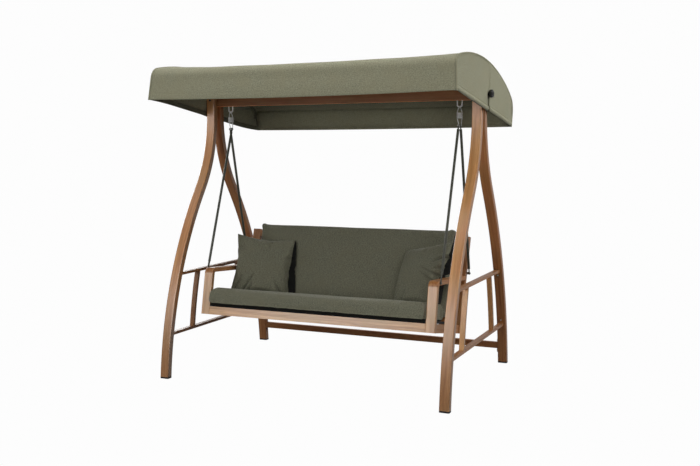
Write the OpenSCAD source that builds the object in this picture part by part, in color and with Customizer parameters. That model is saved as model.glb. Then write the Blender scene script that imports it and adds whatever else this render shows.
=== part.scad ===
/* [Stand] */
// Width of the stand over the outer faces of its legs
stand_width = 1890; // [1700:2100]
// Leg tube size across the bench
leg_width = 60; // [50:70]
// Leg tube size front to back
leg_depth = 40; // [30:50]
// Wall thickness of the stand's tubes
tube_wall = 1.6; // [1.2:0.1:3]
// Height where the legs' straight tops end
bend_height = 1655; // [1600:1700]
// Centre radius of the upper bend of a leg
upper_radius = 836; // [700:1000]
// Greatest lean of a leg
leg_lean = 34; // [25:40]
// Straight length between the two bends of a leg
leg_straight = 77; // [20:150]
// Centre radius of the lower bend of a leg
lower_radius = 2339; // [2000:2600]
// Height of the top beam's tube
beam_height = 80; // [60:100]
// Height of the beam's underside above the floor
beam_bottom = 1710; // [1650:1750]
// Width of the side rails and side slats
rail_width = 30; // [20:40]
// Thickness of the side rails
rail_thick = 18; // [15:25]
// Underside height of the upper side rail
upper_rail_z = 629; // [550:700]
// Underside height of the lower side rail
lower_rail_z = 261; // [200:320]
// Distance of a side slat from the middle, at its half height
slat_y = 288; // [200:350]
// Radius of the side slats' curve
slat_radius = 2300; // [2000:3000]
// Lean of a side slat at its half height
slat_lean = 11.6; // [5:20]
// Height of the rear crossbar
crossbar_height = 40; // [30:50]
// Underside height of the rear crossbar
crossbar_z = 98; // [60:150]
// Thickness of the black foot caps below the legs
foot_cap = 10; // [6:20]

/* [Hangers] */
// Distance of the hanger's plane from the middle
hang_x = 793; // [760:830]
// Height of the bar of the U-bolt that the hanger swings on
swing_z = 1672; // [1650:1690]
// Height of the bolt at the top of the two rods
apex_z = 1560; // [1530:1590]
// Thickness of the round rods
rod_d = 16; // [10:18]
// Wire thickness of the spring and its hooks
wire_d = 6; // [4:8]
// Mean radius of the spring's coils
coil_radius = 15; // [10:20]
// Number of spring coils
coils = 7; // [5:12]
// Pitch of the spring coils
coil_pitch = 6.2; // [6.1:0.1:8]

/* [Seat] */
// Backward tilt of the whole seat
seat_tilt = 11; // [5:15]
// Front of the arm posts, from the middle
seat_front = 411; // [380:440]
// Height of the arm posts' lower front edge
seat_bottom = 383; // [350:420]
// Distance of the arms' outer faces from the middle
arm_outer = 784; // [760:800]
// Width of the arm tubes
arm_width = 60; // [50:70]
// Depth of the arm tubes
arm_depth = 28; // [22:32]
// Length of the arm post below its bend
post_length = 262; // [220:300]
// Centre radius of the bend at the front of the armrest
arm_bend = 24; // [20:40]
// Rise of the armrest towards the back
arm_rise = 6.9; // [0:10]
// Height of the seat rails
seat_rail_height = 51; // [40:60]
// Distance of the back post's rear foot from the post front
back_foot = 513; // [480:540]
// Lean of the back post against the seat
back_lean = 8.2; // [5:15]
// Length of the back post
back_length = 615; // [550:680]
// Depth of the back post
back_depth = 30; // [22:36]
// Wall thickness of the seat's tubes
seat_wall = 1.5; // [1.2:0.1:3]
// Number of slats below the seat cushion
seat_slat_count = 7; // [5:11]
// Number of slats behind the back cushion
back_slat_count = 7; // [5:11]

/* [Cushions] */
// Half width of the seat and back cushions
cushion_half = 719; // [700:722]
// Thickness of the seat cushion
cushion_thick = 96; // [70:120]
// How far the seat cushion reaches in front of the arm posts
cushion_over = 38; // [0:50]
// Thickness of the back cushion
back_thick = 88; // [60:110]
// Upper end of the back cushion along the post
back_top = 650; // [600:700]
// Outline size of a scatter pillow
pillow_size = 390; // [350:450]
// Thickness of a scatter pillow
pillow_thick = 126; // [90:150]

/* [Canopy] */
// Half width of the canopy over its end panels
canopy_half = 965; // [950:1000]
// Half length of the canopy, front to rear
canopy_reach = 630; // [580:680]
// Radius of the roof's arch
roof_radius = 1750; // [1400:2000]
// How far the arch's crown lies in front of the hem's middle
roof_shift = 35; // [0:60]
// Height of the roof's crown above the hem
roof_rise = 284; // [250:320]
// Radius of the roof's rounded front edge
front_radius = 70; // [50:120]
// Radius of the roof's rounded rear edge
rear_radius = 95; // [50:120]
// Thickness of the canopy cloth with its hem
cloth = 3; // [2:4]
// Tilt of the canopy, front up
canopy_tilt = 8; // [0:15]
// Height of the canopy's tilting axis
pivot_z = 1742; // [1720:1760]
// Height of the axis above the hem line
pivot_rise = 98; // [80:120]
// Diameter of the tilt knobs over their lobes
knob_d = 44; // [36:50]

/* [Hidden] */
$fn = 96;
leg_x = stand_width / 2 - leg_width / 2;
leg_top = beam_bottom + beam_height;
leg_y = leg_depth;
end1_y = leg_y + upper_radius * (1 - cos(leg_lean));
end1_z = bend_height - upper_radius * sin(leg_lean);
end2_y = end1_y + leg_straight * sin(leg_lean);
end2_z = end1_z - leg_straight * cos(leg_lean);
low_cy = end2_y - lower_radius * cos(leg_lean);
low_cz = end2_z - lower_radius * sin(leg_lean);
foot_angle = asin(-low_cz / lower_radius);
bar_y = low_cy + lower_radius * cos(asin((crossbar_z + crossbar_height / 2 - low_cz) / lower_radius));
post_x = arm_outer - arm_width / 2;
post_in = arm_outer - arm_width;
bolt_z = beam_bottom + beam_height / 2;
body_len = coils * coil_pitch - (coil_pitch - wire_d);
body_z = (swing_z + apex_z) / 2 + 5;
front_rod_y = -318;
front_rod_z = 657;
rear_rod_y = 206;
rear_rod_z = 648;
rod_off = 6.2;
cushion_lift = 15.4;
back_front = back_foot - back_depth / cos(back_lean);
roof_c = roof_rise - roof_radius;
front_run = canopy_reach - front_radius - roof_shift;
rear_run = canopy_reach - rear_radius + roof_shift;
front_n = roof_c + sqrt(pow(roof_radius - front_radius, 2) - pow(front_run, 2));
rear_n = roof_c + sqrt(pow(roof_radius - rear_radius, 2) - pow(rear_run, 2));

function corner(cx, cy, r, a) = [for (i = [0 : 3]) [cx + r * cos(a + 30 * i), cy + r * sin(a + 30 * i)]];
function rounded(w, h, r) = concat(
  corner(w / 2 - r, h / 2 - r, r, 0),
  corner(-w / 2 + r, h / 2 - r, r, 90),
  corner(-w / 2 + r, -h / 2 + r, r, 180),
  corner(w / 2 - r, -h / 2 + r, r, 270));

// Mirror a module's children to the left side
module left() {
  mirror([1, 0, 0]) children();
}

// Part of a ring in a plane across X: angle 0 points to +Y and 90 points up
module ring(cy, cz, radius, a0, a1) {
  translate([0, cy, cz])
    rotate([90, 0, 90])
      rotate([0, 0, a0])
        rotate_extrude(angle = a1 - a0, $fn = 256)
          translate([radius, 0])
            children();
}

// The whole curved shape of a rear leg at x = 0, as a solid bar of the given section
module leg_path(w, d, r) {
  union() {
    translate([0, leg_y, bend_height])
      linear_extrude(leg_top - bend_height)
        polygon(rounded(w, d, r));
    ring(leg_y + upper_radius, bend_height, upper_radius, 180, 180 + leg_lean + 0.002)
      polygon(rounded(d, w, r));
    translate([0, end1_y, end1_z])
      rotate([leg_lean, 0, 0])
        translate([0, 0, -leg_straight])
          linear_extrude(leg_straight)
            polygon(rounded(w, d, r));
    ring(low_cy, low_cz, lower_radius, foot_angle - 1.5, leg_lean)
      polygon(rounded(d, w, r));
  }
}

// A rear leg at x = 0: a bent tube, cut level above its foot cap
module leg() {
  difference() {
    leg_path(leg_width, leg_depth, 6);
    leg_path(leg_width - 2 * tube_wall, leg_depth - 2 * tube_wall, 6 - tube_wall);
    translate([-50, 400, -100])
      cube([100, 400, 100 + foot_cap]);
    translate([0, 0, bolt_z])
      rotate([-90, 0, 0])
        cylinder(r = 4.2, h = 90);
  }
}

module leg_rear_right() {
  color([0.63, 0.47, 0.32])
    translate([leg_x, 0, 0])
      leg();
}

module leg_rear_left() {
  color([0.63, 0.47, 0.32])
    translate([-leg_x, 0, 0])
      leg();
}

module leg_front_right() {
  color([0.63, 0.47, 0.32])
    mirror([0, 1, 0])
      translate([leg_x, 0, 0])
        leg();
}

module leg_front_left() {
  color([0.63, 0.47, 0.32])
    mirror([0, 1, 0])
      translate([-leg_x, 0, 0])
        leg();
}

// One foot cap for a rear leg at x = 0: a flat sole and a plug inside the tube
module foot_cap_one() {
  foot_y = low_cy + lower_radius * cos(foot_angle);
  union() {
    intersection() {
      ring(low_cy, low_cz, lower_radius, foot_angle - 1, foot_angle + 1)
        polygon(rounded(leg_depth, leg_width, 6));
      translate([-50, foot_y - 60, 0])
        cube([100, 120, foot_cap]);
    }
    intersection() {
      ring(low_cy, low_cz, lower_radius, foot_angle - 1, foot_angle + 1.5)
        polygon(rounded(leg_depth - 2 * tube_wall - 0.8, leg_width - 2 * tube_wall - 0.8, 4.4));
      translate([-50, foot_y - 60, foot_cap - 1])
        cube([100, 120, 26]);
    }
  }
}

module foot_caps() {
  color([0.05, 0.05, 0.05])
    for (x = [-leg_x, leg_x]) {
      translate([x, 0, 0])
        foot_cap_one();
      translate([x, 0, 0])
        mirror([0, 1, 0])
          foot_cap_one();
    }
}

// Straight beam between the tops of the front and rear legs
module top_beam() {
  color([0.50, 0.34, 0.22])
    difference() {
      translate([-stand_width / 2, -20, beam_bottom])
        cube([stand_width, 40, beam_height]);
      translate([-stand_width, -20 + tube_wall, beam_bottom + tube_wall])
        cube([2 * stand_width, 40 - 2 * tube_wall, beam_height - 2 * tube_wall]);
      for (s = [-1, 1]) {
        translate([s * leg_x, -50, bolt_z])
          rotate([-90, 0, 0])
            cylinder(r = 4.2, h = 100);
        for (d = [-15, 15])
          translate([s * hang_x + d, 0, beam_bottom - 20])
            cylinder(r = 4.2, h = beam_height + 40);
      }
    }
}

// Flat side rail between the two legs of one side, with a curved end plate on each leg
module side_rail(z0, plate_low, plate_high) {
  inner = lower_radius - leg_depth / 2;
  a0 = asin((plate_low - low_cz) / inner);
  a1 = asin((plate_high - low_cz) / inner);
  union() {
    difference() {
      translate([-rail_width / 2, -620, z0])
        cube([rail_width, 1240, rail_thick]);
      translate([-rail_width / 2 + 1.5, -700, z0 + 1.5])
        cube([rail_width - 3, 1400, rail_thick - 3]);
      for (m = [0, 1])
        mirror([0, m, 0])
          ring(low_cy, low_cz, inner, a0 - 3, a1 + 3)
            translate([0, -50])
              square([300, 100]);
    }
    for (m = [0, 1])
      mirror([0, m, 0])
        ring(low_cy, low_cz, inner - 3, a0, a1)
          translate([0, -rail_width / 2])
            square([3, rail_width]);
  }
}

module side_rail_upper_right() {
  color([0.63, 0.47, 0.32])
    translate([leg_x, 0, 0])
      side_rail(upper_rail_z, upper_rail_z - 38, upper_rail_z + rail_thick + 2);
}

module side_rail_upper_left() {
  color([0.63, 0.47, 0.32])
    translate([-leg_x, 0, 0])
      side_rail(upper_rail_z, upper_rail_z - 38, upper_rail_z + rail_thick + 2);
}

module side_rail_lower_right() {
  color([0.63, 0.47, 0.32])
    translate([leg_x, 0, 0])
      side_rail(lower_rail_z, lower_rail_z - 2, lower_rail_z + rail_thick + 38);
}

module side_rail_lower_left() {
  color([0.63, 0.47, 0.32])
    translate([-leg_x, 0, 0])
      side_rail(lower_rail_z, lower_rail_z - 2, lower_rail_z + rail_thick + 38);
}

// Curved upright slats between the side rails, one near each leg
module side_slats() {
  low = lower_rail_z + rail_thick;
  mid = (low + upper_rail_z) / 2;
  cy = slat_y - slat_radius * cos(slat_lean);
  cz = mid - slat_radius * sin(slat_lean);
  for (m = [0, 1])
    mirror([0, m, 0])
      intersection() {
        ring(cy, cz, slat_radius, slat_lean - 6, slat_lean + 6)
          difference() {
            square([18, rail_width], center = true);
            square([15, rail_width - 3], center = true);
          }
        translate([-50, 100, low])
          cube([100, 400, upper_rail_z - low]);
      }
}

module side_slats_right() {
  color([0.63, 0.47, 0.32])
    translate([leg_x, 0, 0])
      side_slats();
}

module side_slats_left() {
  color([0.63, 0.47, 0.32])
    translate([-leg_x, 0, 0])
      side_slats();
}

// Crossbar between the rear legs, with a tall flange at each end
module rear_crossbar() {
  reach = stand_width / 2 - leg_width;
  color([0.52, 0.38, 0.26])
    union() {
      difference() {
        translate([-reach + 3, bar_y - 12.5, crossbar_z])
          cube([2 * reach - 6, 25, crossbar_height]);
        translate([-reach, bar_y - 11, crossbar_z + 1.5])
          cube([2 * reach, 22, crossbar_height - 3]);
      }
      for (s = [-1, 1])
        difference() {
          translate([s * (reach - 1.5) - 1.5, bar_y - 15, crossbar_z - 24])
            cube([3, 30, crossbar_height + 48]);
          for (dz = [-12, crossbar_height + 12])
            translate([s * reach, bar_y, crossbar_z + dz])
              rotate([0, 90, 0])
                cylinder(r = 3.2, h = 20, center = true);
        }
    }
}

// Hexagon head and shank along -Z from the head's seat at z = 0
module hex_bolt(r, len, head_r, head_h) {
  union() {
    cylinder(r = head_r, h = head_h, $fn = 6);
    translate([0, 0, -len])
      cylinder(r = r, h = len + 1);
  }
}

// One long bolt through each pair of leg tops, with its nut at the rear
module top_bolts() {
  color([0.20, 0.20, 0.20])
    for (s = [-1, 1])
      translate([s * leg_x, 0, bolt_z])
        union() {
          translate([0, -60, 0])
            rotate([90, 0, 0])
              hex_bolt(4, 128, 7, 5);
          translate([0, 60, 0])
            rotate([-90, 0, 0])
              cylinder(r = 7, h = 6, $fn = 6);
        }
}

module crossbar_bolts() {
  reach = stand_width / 2 - leg_width;
  color([0.20, 0.20, 0.20])
    for (s = [-1, 1])
      for (dz = [-12, crossbar_height + 12])
        translate([s * (reach - 3), bar_y, crossbar_z + dz])
          rotate([0, -90 * s, 0])
            hex_bolt(3, 3, 5.5, 4);
}

// Small round screws that hold the rail end plates to the legs
module rail_screws() {
  inner = lower_radius - leg_depth / 2;
  color([0.75, 0.75, 0.75])
    for (s = [-1, 1])
      for (m = [0, 1])
        for (z = [upper_rail_z - 20, lower_rail_z + rail_thick + 20])
          translate([s * leg_x, 0, 0])
            mirror([0, m, 0])
              translate([0, low_cy, low_cz])
                rotate([asin((z - low_cz) / inner), 0, 0])
                  translate([0, inner - 3, 0])
                    rotate([90, 0, 0])
                      cylinder(r = 5, h = 3);
}

// U-bolt through the beam: the hanger swings on its lowest point
module ubolt() {
  translate([hang_x, 0, swing_z])
    union() {
      translate([-3, 0, 0])
        rotate([0, 90, 0])
          cylinder(r = 4, h = 6);
      for (m = [0, 1])
        mirror([m, 0, 0])
          translate([3, 0, 12]) {
            rotate([90, 0, 0])
              rotate([0, 0, -90])
                rotate_extrude(angle = 90)
                  translate([12, 0])
                    circle(r = 4);
            translate([12, 0, 0])
              cylinder(r = 4, h = leg_top - swing_z);
          }
    }
}

module ubolt_right() {
  color([0.75, 0.76, 0.77])
    ubolt();
}

module ubolt_left() {
  color([0.75, 0.76, 0.77])
    left()
      ubolt();
}

module ubolt_nuts() {
  color([0.75, 0.76, 0.77])
    for (s = [-1, 1])
      for (d = [-15, 15])
        translate([s * hang_x + d, 0, leg_top])
          difference() {
            union() {
              cylinder(r = 9, h = 1.6);
              translate([0, 0, 1])
                cylinder(r = 7.2, h = 7, $fn = 6);
            }
            translate([0, 0, -1])
              cylinder(r = 4.1, h = 12);
          }
}

// Plate in the end of the beam with the stud that the canopy turns on
module pivot_stud() {
  union() {
    translate([stand_width / 2 - 4, -20 + tube_wall + 0.2, beam_bottom + tube_wall + 0.2])
      cube([4, 40 - 2 * tube_wall - 0.4, beam_height - 2 * tube_wall - 0.4]);
    translate([stand_width / 2 - 2, 0, pivot_z])
      rotate([0, 90, 0])
        cylinder(r = 5, h = 40);
  }
}

module pivot_stud_right() {
  color([0.60, 0.61, 0.62])
    pivot_stud();
}

module pivot_stud_left() {
  color([0.60, 0.61, 0.62])
    left()
      pivot_stud();
}

// Closed wire eye that hangs on the U-bolt, with two wires down to the spring
module hook_upper() {
  top = body_z + body_len / 2;
  rise = swing_z - 7.5 - top;
  run = coil_radius;
  slope = atan(run / rise);
  translate([hang_x, 0, 0])
    union() {
      translate([0, 0, swing_z])
        rotate([0, 90, 0])
          rotate_extrude()
            translate([7.5, 0])
              circle(r = wire_d / 2);
      for (s = [-1, 1])
        translate([s * run, 0, top])
          rotate([0, -s * slope, 0])
            cylinder(r = wire_d / 2 - 0.2, h = sqrt(run * run + rise * rise));
      translate([0, 0, top])
        rotate_extrude()
          translate([coil_radius, 0])
            circle(r = wire_d / 2);
    }
}

module hook_upper_right() {
  color([0.78, 0.79, 0.80])
    hook_upper();
}

module hook_upper_left() {
  color([0.78, 0.79, 0.80])
    left()
      hook_upper();
}

// Close-wound coils as rings on a thin sleeve
module spring() {
  low = body_z - body_len / 2 + wire_d;
  count = coils - 2;
  translate([hang_x, 0, 0])
    union() {
      translate([0, 0, low - 2.6])
        difference() {
          cylinder(r = coil_radius + 1, h = body_len - 2 * wire_d + 5.2);
          translate([0, 0, -1])
            cylinder(r = coil_radius - 1, h = body_len);
        }
      for (i = [0 : count - 1])
        translate([0, 0, low + (i + 0.5) * (body_len - 2 * wire_d) / count])
          rotate_extrude()
            translate([coil_radius, 0])
              circle(r = wire_d / 2);
    }
}

module spring_right() {
  color([0.80, 0.81, 0.82])
    spring();
}

module spring_left() {
  color([0.80, 0.81, 0.82])
    left()
      spring();
}

// Wire hook from the spring down to the closed eye round the apex bolt
module hook_lower() {
  low = body_z - body_len / 2;
  drop = low - (apex_z + 7.5);
  run = coil_radius;
  slope = atan(run / drop);
  translate([hang_x, 0, 0])
    union() {
      translate([0, 0, apex_z])
        rotate([0, 90, 0])
          rotate_extrude()
            translate([7.5, 0])
              circle(r = wire_d / 2);
      for (s = [-1, 1])
        translate([s * run, 0, low])
          rotate([0, 180 + s * slope, 0])
            cylinder(r = wire_d / 2 - 0.2, h = sqrt(run * run + drop * drop));
      translate([0, 0, low])
        rotate_extrude()
          translate([coil_radius, 0])
            circle(r = wire_d / 2);
    }
}

module hook_lower_right() {
  color([0.78, 0.79, 0.80])
    hook_lower();
}

module hook_lower_left() {
  color([0.78, 0.79, 0.80])
    left()
      hook_lower();
}

// Round rod with a flat eye at each end, from the apex bolt to (y1, z1) on the arm
module rod(x0, y1, z1, flat) {
  run = sqrt(pow(y1, 2) + pow(apex_z - z1, 2));
  lean = atan2(y1, apex_z - z1);
  translate([x0, 0, apex_z])
    rotate([lean, 0, 0])
      difference() {
        union() {
          translate([0, 0, -run + flat])
            cylinder(r = rod_d / 2, h = run - flat - 22);
          for (z = [0, -run])
            translate([-2, 0, z])
              rotate([0, 90, 0])
                cylinder(r = 9, h = 4);
          translate([-2, -rod_d / 2, -26])
            cube([4, rod_d, 26]);
          translate([-2, -rod_d / 2, -run])
            cube([4, rod_d, flat + 9]);
        }
        for (z = [0, -run])
          translate([-10, 0, z])
            rotate([0, 90, 0])
              cylinder(r = 4.05, h = 20);
      }
}

module rod_front_right() {
  color([0.31, 0.33, 0.28])
    rod(hang_x - rod_off, front_rod_y, front_rod_z, 52);
}

module rod_front_left() {
  color([0.31, 0.33, 0.28])
    left()
      rod(hang_x - rod_off, front_rod_y, front_rod_z, 52);
}

module rod_rear_right() {
  color([0.31, 0.33, 0.28])
    rod(hang_x + rod_off, rear_rod_y, rear_rod_z, 30);
}

module rod_rear_left() {
  color([0.31, 0.33, 0.28])
    left()
      rod(hang_x + rod_off, rear_rod_y, rear_rod_z, 30);
}

// Bolt at the apex, and the two bolts with spacers that hold the rods to the seat
module rod_bolts() {
  union() {
    translate([hang_x - rod_off - 6.5, 0, apex_z])
      rotate([0, 90, 0])
        cylinder(r = 4, h = 2 * rod_off + 11);
    translate([hang_x + rod_off + 2, 0, apex_z])
      rotate([0, 90, 0])
        cylinder(r = 7, h = 5, $fn = 6);
    translate([hang_x - rod_off - 7, 0, apex_z])
      rotate([0, 90, 0])
        cylinder(r = 7, h = 5, $fn = 6);
  }
  translate([arm_outer, front_rod_y, front_rod_z])
    rotate([0, 90, 0])
      union() {
        cylinder(r = 8, h = hang_x - rod_off - 2 - arm_outer);
        cylinder(r = 4, h = hang_x - rod_off + 5 - arm_outer);
        translate([0, 0, hang_x - rod_off + 2 - arm_outer])
          cylinder(r = 7, h = 5, $fn = 6);
      }
  translate([arm_outer, rear_rod_y, rear_rod_z])
    rotate([0, 90, 0])
      union() {
        cylinder(r = 8, h = hang_x + rod_off - 2 - arm_outer);
        cylinder(r = 4, h = hang_x + rod_off + 5 - arm_outer);
        translate([0, 0, hang_x + rod_off + 2 - arm_outer])
          cylinder(r = 7, h = 5, $fn = 6);
      }
}

module rod_bolts_right() {
  color([0.45, 0.46, 0.45])
    rod_bolts();
}

module rod_bolts_left() {
  color([0.45, 0.46, 0.45])
    left()
      rod_bolts();
}

// Move children from the seat's own frame (Y back along the seat, Z up from it) to the stand
module seat() {
  translate([0, -seat_front, seat_bottom])
    rotate([-seat_tilt, 0, 0])
      children();
}

// Move children to the back post's own frame: Z up along the post, Y behind its front face
module back() {
  seat()
    translate([0, back_front, 0])
      rotate([-back_lean, 0, 0])
        children();
}

module arm_section(grow) {
  polygon(rounded(arm_width + 2 * grow, arm_depth + 2 * grow, 4 + grow));
}

module arm_post() {
  seat()
    difference() {
      translate([post_x, arm_depth / 2, 0])
        linear_extrude(post_length)
          arm_section(0);
      translate([post_x, arm_depth / 2, 2])
        linear_extrude(post_length)
          arm_section(-seat_wall);
    }
}

module arm_post_right() {
  color([0.63, 0.47, 0.32])
    arm_post();
}

module arm_post_left() {
  color([0.63, 0.47, 0.32])
    left()
      arm_post();
}

module armrest_path(grow) {
  mid = arm_depth / 2 + arm_bend;
  union() {
    translate([post_x, 0, 0])
      ring(mid, post_length, arm_bend, 90 + arm_rise, 180)
        rotate([0, 0, 90])
          arm_section(grow);
    translate([post_x, mid - arm_bend * sin(arm_rise), post_length + arm_bend * cos(arm_rise)])
      rotate([arm_rise - 90, 0, 0])
        linear_extrude(560)
          arm_section(grow);
  }
}

module armrest() {
  difference() {
    seat()
      difference() {
        armrest_path(0);
        armrest_path(-seat_wall);
      }
    back()
      translate([post_x - 100, 0, 0])
        cube([200, 200, 700]);
  }
}

module armrest_right() {
  color([0.66, 0.50, 0.35])
    armrest();
}

module armrest_left() {
  color([0.66, 0.50, 0.35])
    left()
      armrest();
}

// Back post with a closed top, cut level with the seat's underside
module back_post() {
  difference() {
    back()
      difference() {
        translate([post_x, back_depth / 2, -20])
          linear_extrude(back_length + 20)
            polygon(rounded(arm_width, back_depth, 4));
        translate([post_x, back_depth / 2, -30])
          linear_extrude(back_length + 28)
            polygon(rounded(arm_width - 2 * seat_wall, back_depth - 2 * seat_wall, 2.5));
      }
    seat()
      translate([post_x - 100, back_front - 100, -100])
        cube([200, 300, 100]);
  }
}

module back_post_right() {
  color([0.63, 0.47, 0.32])
    back_post();
}

module back_post_left() {
  color([0.63, 0.47, 0.32])
    left()
      back_post();
}

module seat_side_rail() {
  difference() {
    seat()
      difference() {
        translate([post_x - 20, arm_depth, 0])
          cube([40, 520, seat_rail_height]);
        translate([post_x - 20 + seat_wall, 0, seat_wall])
          cube([40 - 2 * seat_wall, 700, seat_rail_height - 2 * seat_wall]);
      }
    back()
      translate([post_x - 100, 0, -100])
        cube([200, 200, 300]);
  }
}

module seat_side_rail_right() {
  color([0.58, 0.43, 0.29])
    seat_side_rail();
}

module seat_side_rail_left() {
  color([0.58, 0.43, 0.29])
    left()
      seat_side_rail();
}

module seat_front_rail() {
  color([0.68, 0.53, 0.38])
    seat()
      difference() {
        translate([-post_in, 0, 0])
          cube([2 * post_in, arm_depth, seat_rail_height]);
        translate([-post_in - 10, seat_wall, seat_wall])
          cube([2 * post_in + 20, arm_depth - 2 * seat_wall, seat_rail_height - 2 * seat_wall]);
      }
}

module seat_rear_rail() {
  color([0.58, 0.43, 0.29])
    back()
      difference() {
        translate([-post_in, 2, 8])
          cube([2 * post_in, back_depth - 4, 40]);
        translate([-post_in - 10, 2 + seat_wall, 8 + seat_wall])
          cube([2 * post_in + 20, back_depth - 4 - 2 * seat_wall, 40 - 2 * seat_wall]);
      }
}

module back_top_rail() {
  color([0.58, 0.43, 0.29])
    back()
      difference() {
        translate([-post_in, 2, back_length - 50])
          cube([2 * post_in, back_depth - 4, 40]);
        translate([-post_in - 10, 2 + seat_wall, back_length - 50 + seat_wall])
          cube([2 * post_in + 20, back_depth - 4 - 2 * seat_wall, 40 - 2 * seat_wall]);
      }
}

// Flat tubes under the seat cushion, laid over the front rail and the rear rail
module seat_slats() {
  pitch = 2 * (post_in - 60) / (seat_slat_count - 1);
  color([0.55, 0.40, 0.27])
    difference() {
      seat()
        for (i = [0 : seat_slat_count - 1])
          translate([-post_in + 60 + i * pitch, 3, seat_rail_height])
            difference() {
              translate([-20, 0, 0])
                cube([40, 500, 15]);
              translate([-18.5, -10, 1.5])
                cube([37, 600, 12]);
            }
      back()
        translate([-900, 2, -100])
          cube([1800, 200, 300]);
    }
}

// Flat tubes behind the back cushion
module back_slats() {
  pitch = 2 * (post_in - 60) / (back_slat_count - 1);
  color([0.55, 0.40, 0.27])
    back()
      for (i = [0 : back_slat_count - 1])
        translate([-post_in + 60 + i * pitch, 2, 48])
          difference() {
            translate([-20, 0, 0])
              cube([40, 15, back_length - 98]);
            translate([-18.5, 1.5, -10])
              cube([37, 12, back_length - 50]);
          }
}

// Soft block with rounded long edges, along X
module soft_block(half, depth, thick, r) {
  union() {
    translate([-half, r, 0])
      cube([2 * half, depth - 2 * r, thick]);
    translate([-half, 0, r])
      cube([2 * half, depth, thick - 2 * r]);
    for (y = [r, depth - r])
      for (z = [r, thick - r])
        translate([-half, y, z])
          rotate([0, 90, 0])
            cylinder(r = r, h = 2 * half);
  }
}

module seat_cushion() {
  color([0.30, 0.31, 0.25])
    seat()
      translate([0, -cushion_over, seat_rail_height + cushion_lift])
        soft_block(cushion_half, 398 + cushion_over, cushion_thick, 30);
}

module back_cushion() {
  color([0.30, 0.31, 0.25])
    back()
      translate([0, -0.5 - back_thick, 72])
        soft_block(cushion_half, back_thick, back_top - 72, 30);
}

// Square pillow with domed faces and thin corners
module pillow() {
  dome = 640;
  off = dome - pillow_thick / 2;
  translate([546, -18, 664])
    rotate([0, 0, -25])
      rotate([-20, 0, 0])
        rotate([0, -4.5, 0])
          intersection() {
            cube([pillow_size, 300, pillow_size], center = true);
            translate([0, off, 0])
              sphere(r = dome, $fn = 256);
            translate([0, -off, 0])
              sphere(r = dome, $fn = 256);
          }
}

// The pillow, pressed flat where it rests on the seat cushion and the armrest
module pressed_pillow() {
  difference() {
    pillow();
    translate([post_in - 0.5, -300, 500])
      cube([100, 600, 162]);
    seat()
      translate([0, -cushion_over, 0])
        cube([post_in, 500, seat_rail_height + cushion_lift + cushion_thick + 0.3]);
  }
}

module pillow_right() {
  color([0.32, 0.33, 0.27])
    pressed_pillow();
}

module pillow_left() {
  color([0.32, 0.33, 0.27])
    left()
      pressed_pillow();
}

// Move children from the canopy's own frame (Y along the hem, Z up from it) to the stand
module canopy() {
  translate([0, 0, pivot_z])
    rotate([-canopy_tilt, 0, 0])
      translate([0, -6, -pivot_rise])
        children();
}

// The canopy's outline as a bar along X, set inwards by o, above the height low
module roof(half, o, low) {
  big = roof_radius - o;
  reach = canopy_reach - o;
  front_end = -roof_shift - front_run * big / (roof_radius - front_radius);
  rear_end = -roof_shift + rear_run * big / (roof_radius - rear_radius);
  intersection() {
    union() {
      translate([-half, -reach, low])
        cube([2 * half, reach, front_n - low]);
      translate([-half, -1, low])
        cube([2 * half, reach + 1, rear_n - low]);
      translate([-half, front_radius - canopy_reach, front_n])
        rotate([0, 90, 0])
          cylinder(r = front_radius - o, h = 2 * half);
      translate([-half, canopy_reach - rear_radius, rear_n])
        rotate([0, 90, 0])
          cylinder(r = rear_radius - o, h = 2 * half);
      intersection() {
        translate([-half, -roof_shift, roof_c])
          rotate([0, 90, 0])
            cylinder(r = big, h = 2 * half, $fn = 256);
        translate([-half, front_end, low])
          cube([2 * half, rear_end - front_end, 600]);
      }
    }
    translate([-half - 1, -900, low])
      cube([2 * half + 2, 1800, 700]);
  }
}

// Roof cloth in one sheet, with the front and rear valances
module canopy_cover() {
  color([0.49, 0.49, 0.41])
    canopy()
      difference() {
        roof(canopy_half, 0, 0);
        roof(canopy_half + 10, cloth, -50);
      }
}

// Flat end panel sewn inside the edge of the roof cloth, with a slit for the tilt knob
module canopy_end() {
  canopy()
    difference() {
      intersection() {
        roof(canopy_half, cloth + 0.3, 0);
        translate([canopy_half - cloth, -900, -10])
          cube([cloth, 1800, 700]);
      }
      translate([canopy_half - 20, 6, pivot_rise])
        rotate([0, 90, 0])
          cylinder(r = 13, h = 40);
      translate([canopy_half - 20, 4.5, -20])
        cube([40, 3, pivot_rise + 20]);
    }
}

module canopy_end_right() {
  color([0.57, 0.57, 0.47])
    canopy_end();
}

module canopy_end_left() {
  color([0.57, 0.57, 0.47])
    left()
      canopy_end();
}

// End rib: a bent flat tube under the roof's edge and a straight bar with the pivot hole
module canopy_rib() {
  canopy()
    translate([954.5, 0, 0])
      difference() {
        union() {
          difference() {
            roof(6, 9, pivot_rise - 16);
            roof(20, 25, pivot_rise - 40);
          }
          translate([-6, -canopy_reach + 12, pivot_rise - 16])
            cube([6, 2 * canopy_reach - 24, 32]);
        }
        translate([-30, 6, pivot_rise])
          rotate([0, 90, 0])
            cylinder(r = 5.08, h = 60);
      }
}

module canopy_rib_right() {
  color([0.13, 0.13, 0.11])
    canopy_rib();
}

module canopy_rib_left() {
  color([0.13, 0.13, 0.11])
    left()
      canopy_rib();
}

// Long tube between the two end ribs
module canopy_rail(side) {
  canopy()
    translate([-948.3, side * (canopy_reach - 22), pivot_rise])
      rotate([0, 90, 0])
        difference() {
          cylinder(r = 10, h = 1896.6);
          translate([0, 0, -1])
            cylinder(r = 8.8, h = 1900);
        }
}

module canopy_front_rail() {
  color([0.13, 0.13, 0.11])
    canopy_rail(-1);
}

module canopy_rear_rail() {
  color([0.13, 0.13, 0.11])
    canopy_rail(1);
}

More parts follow.
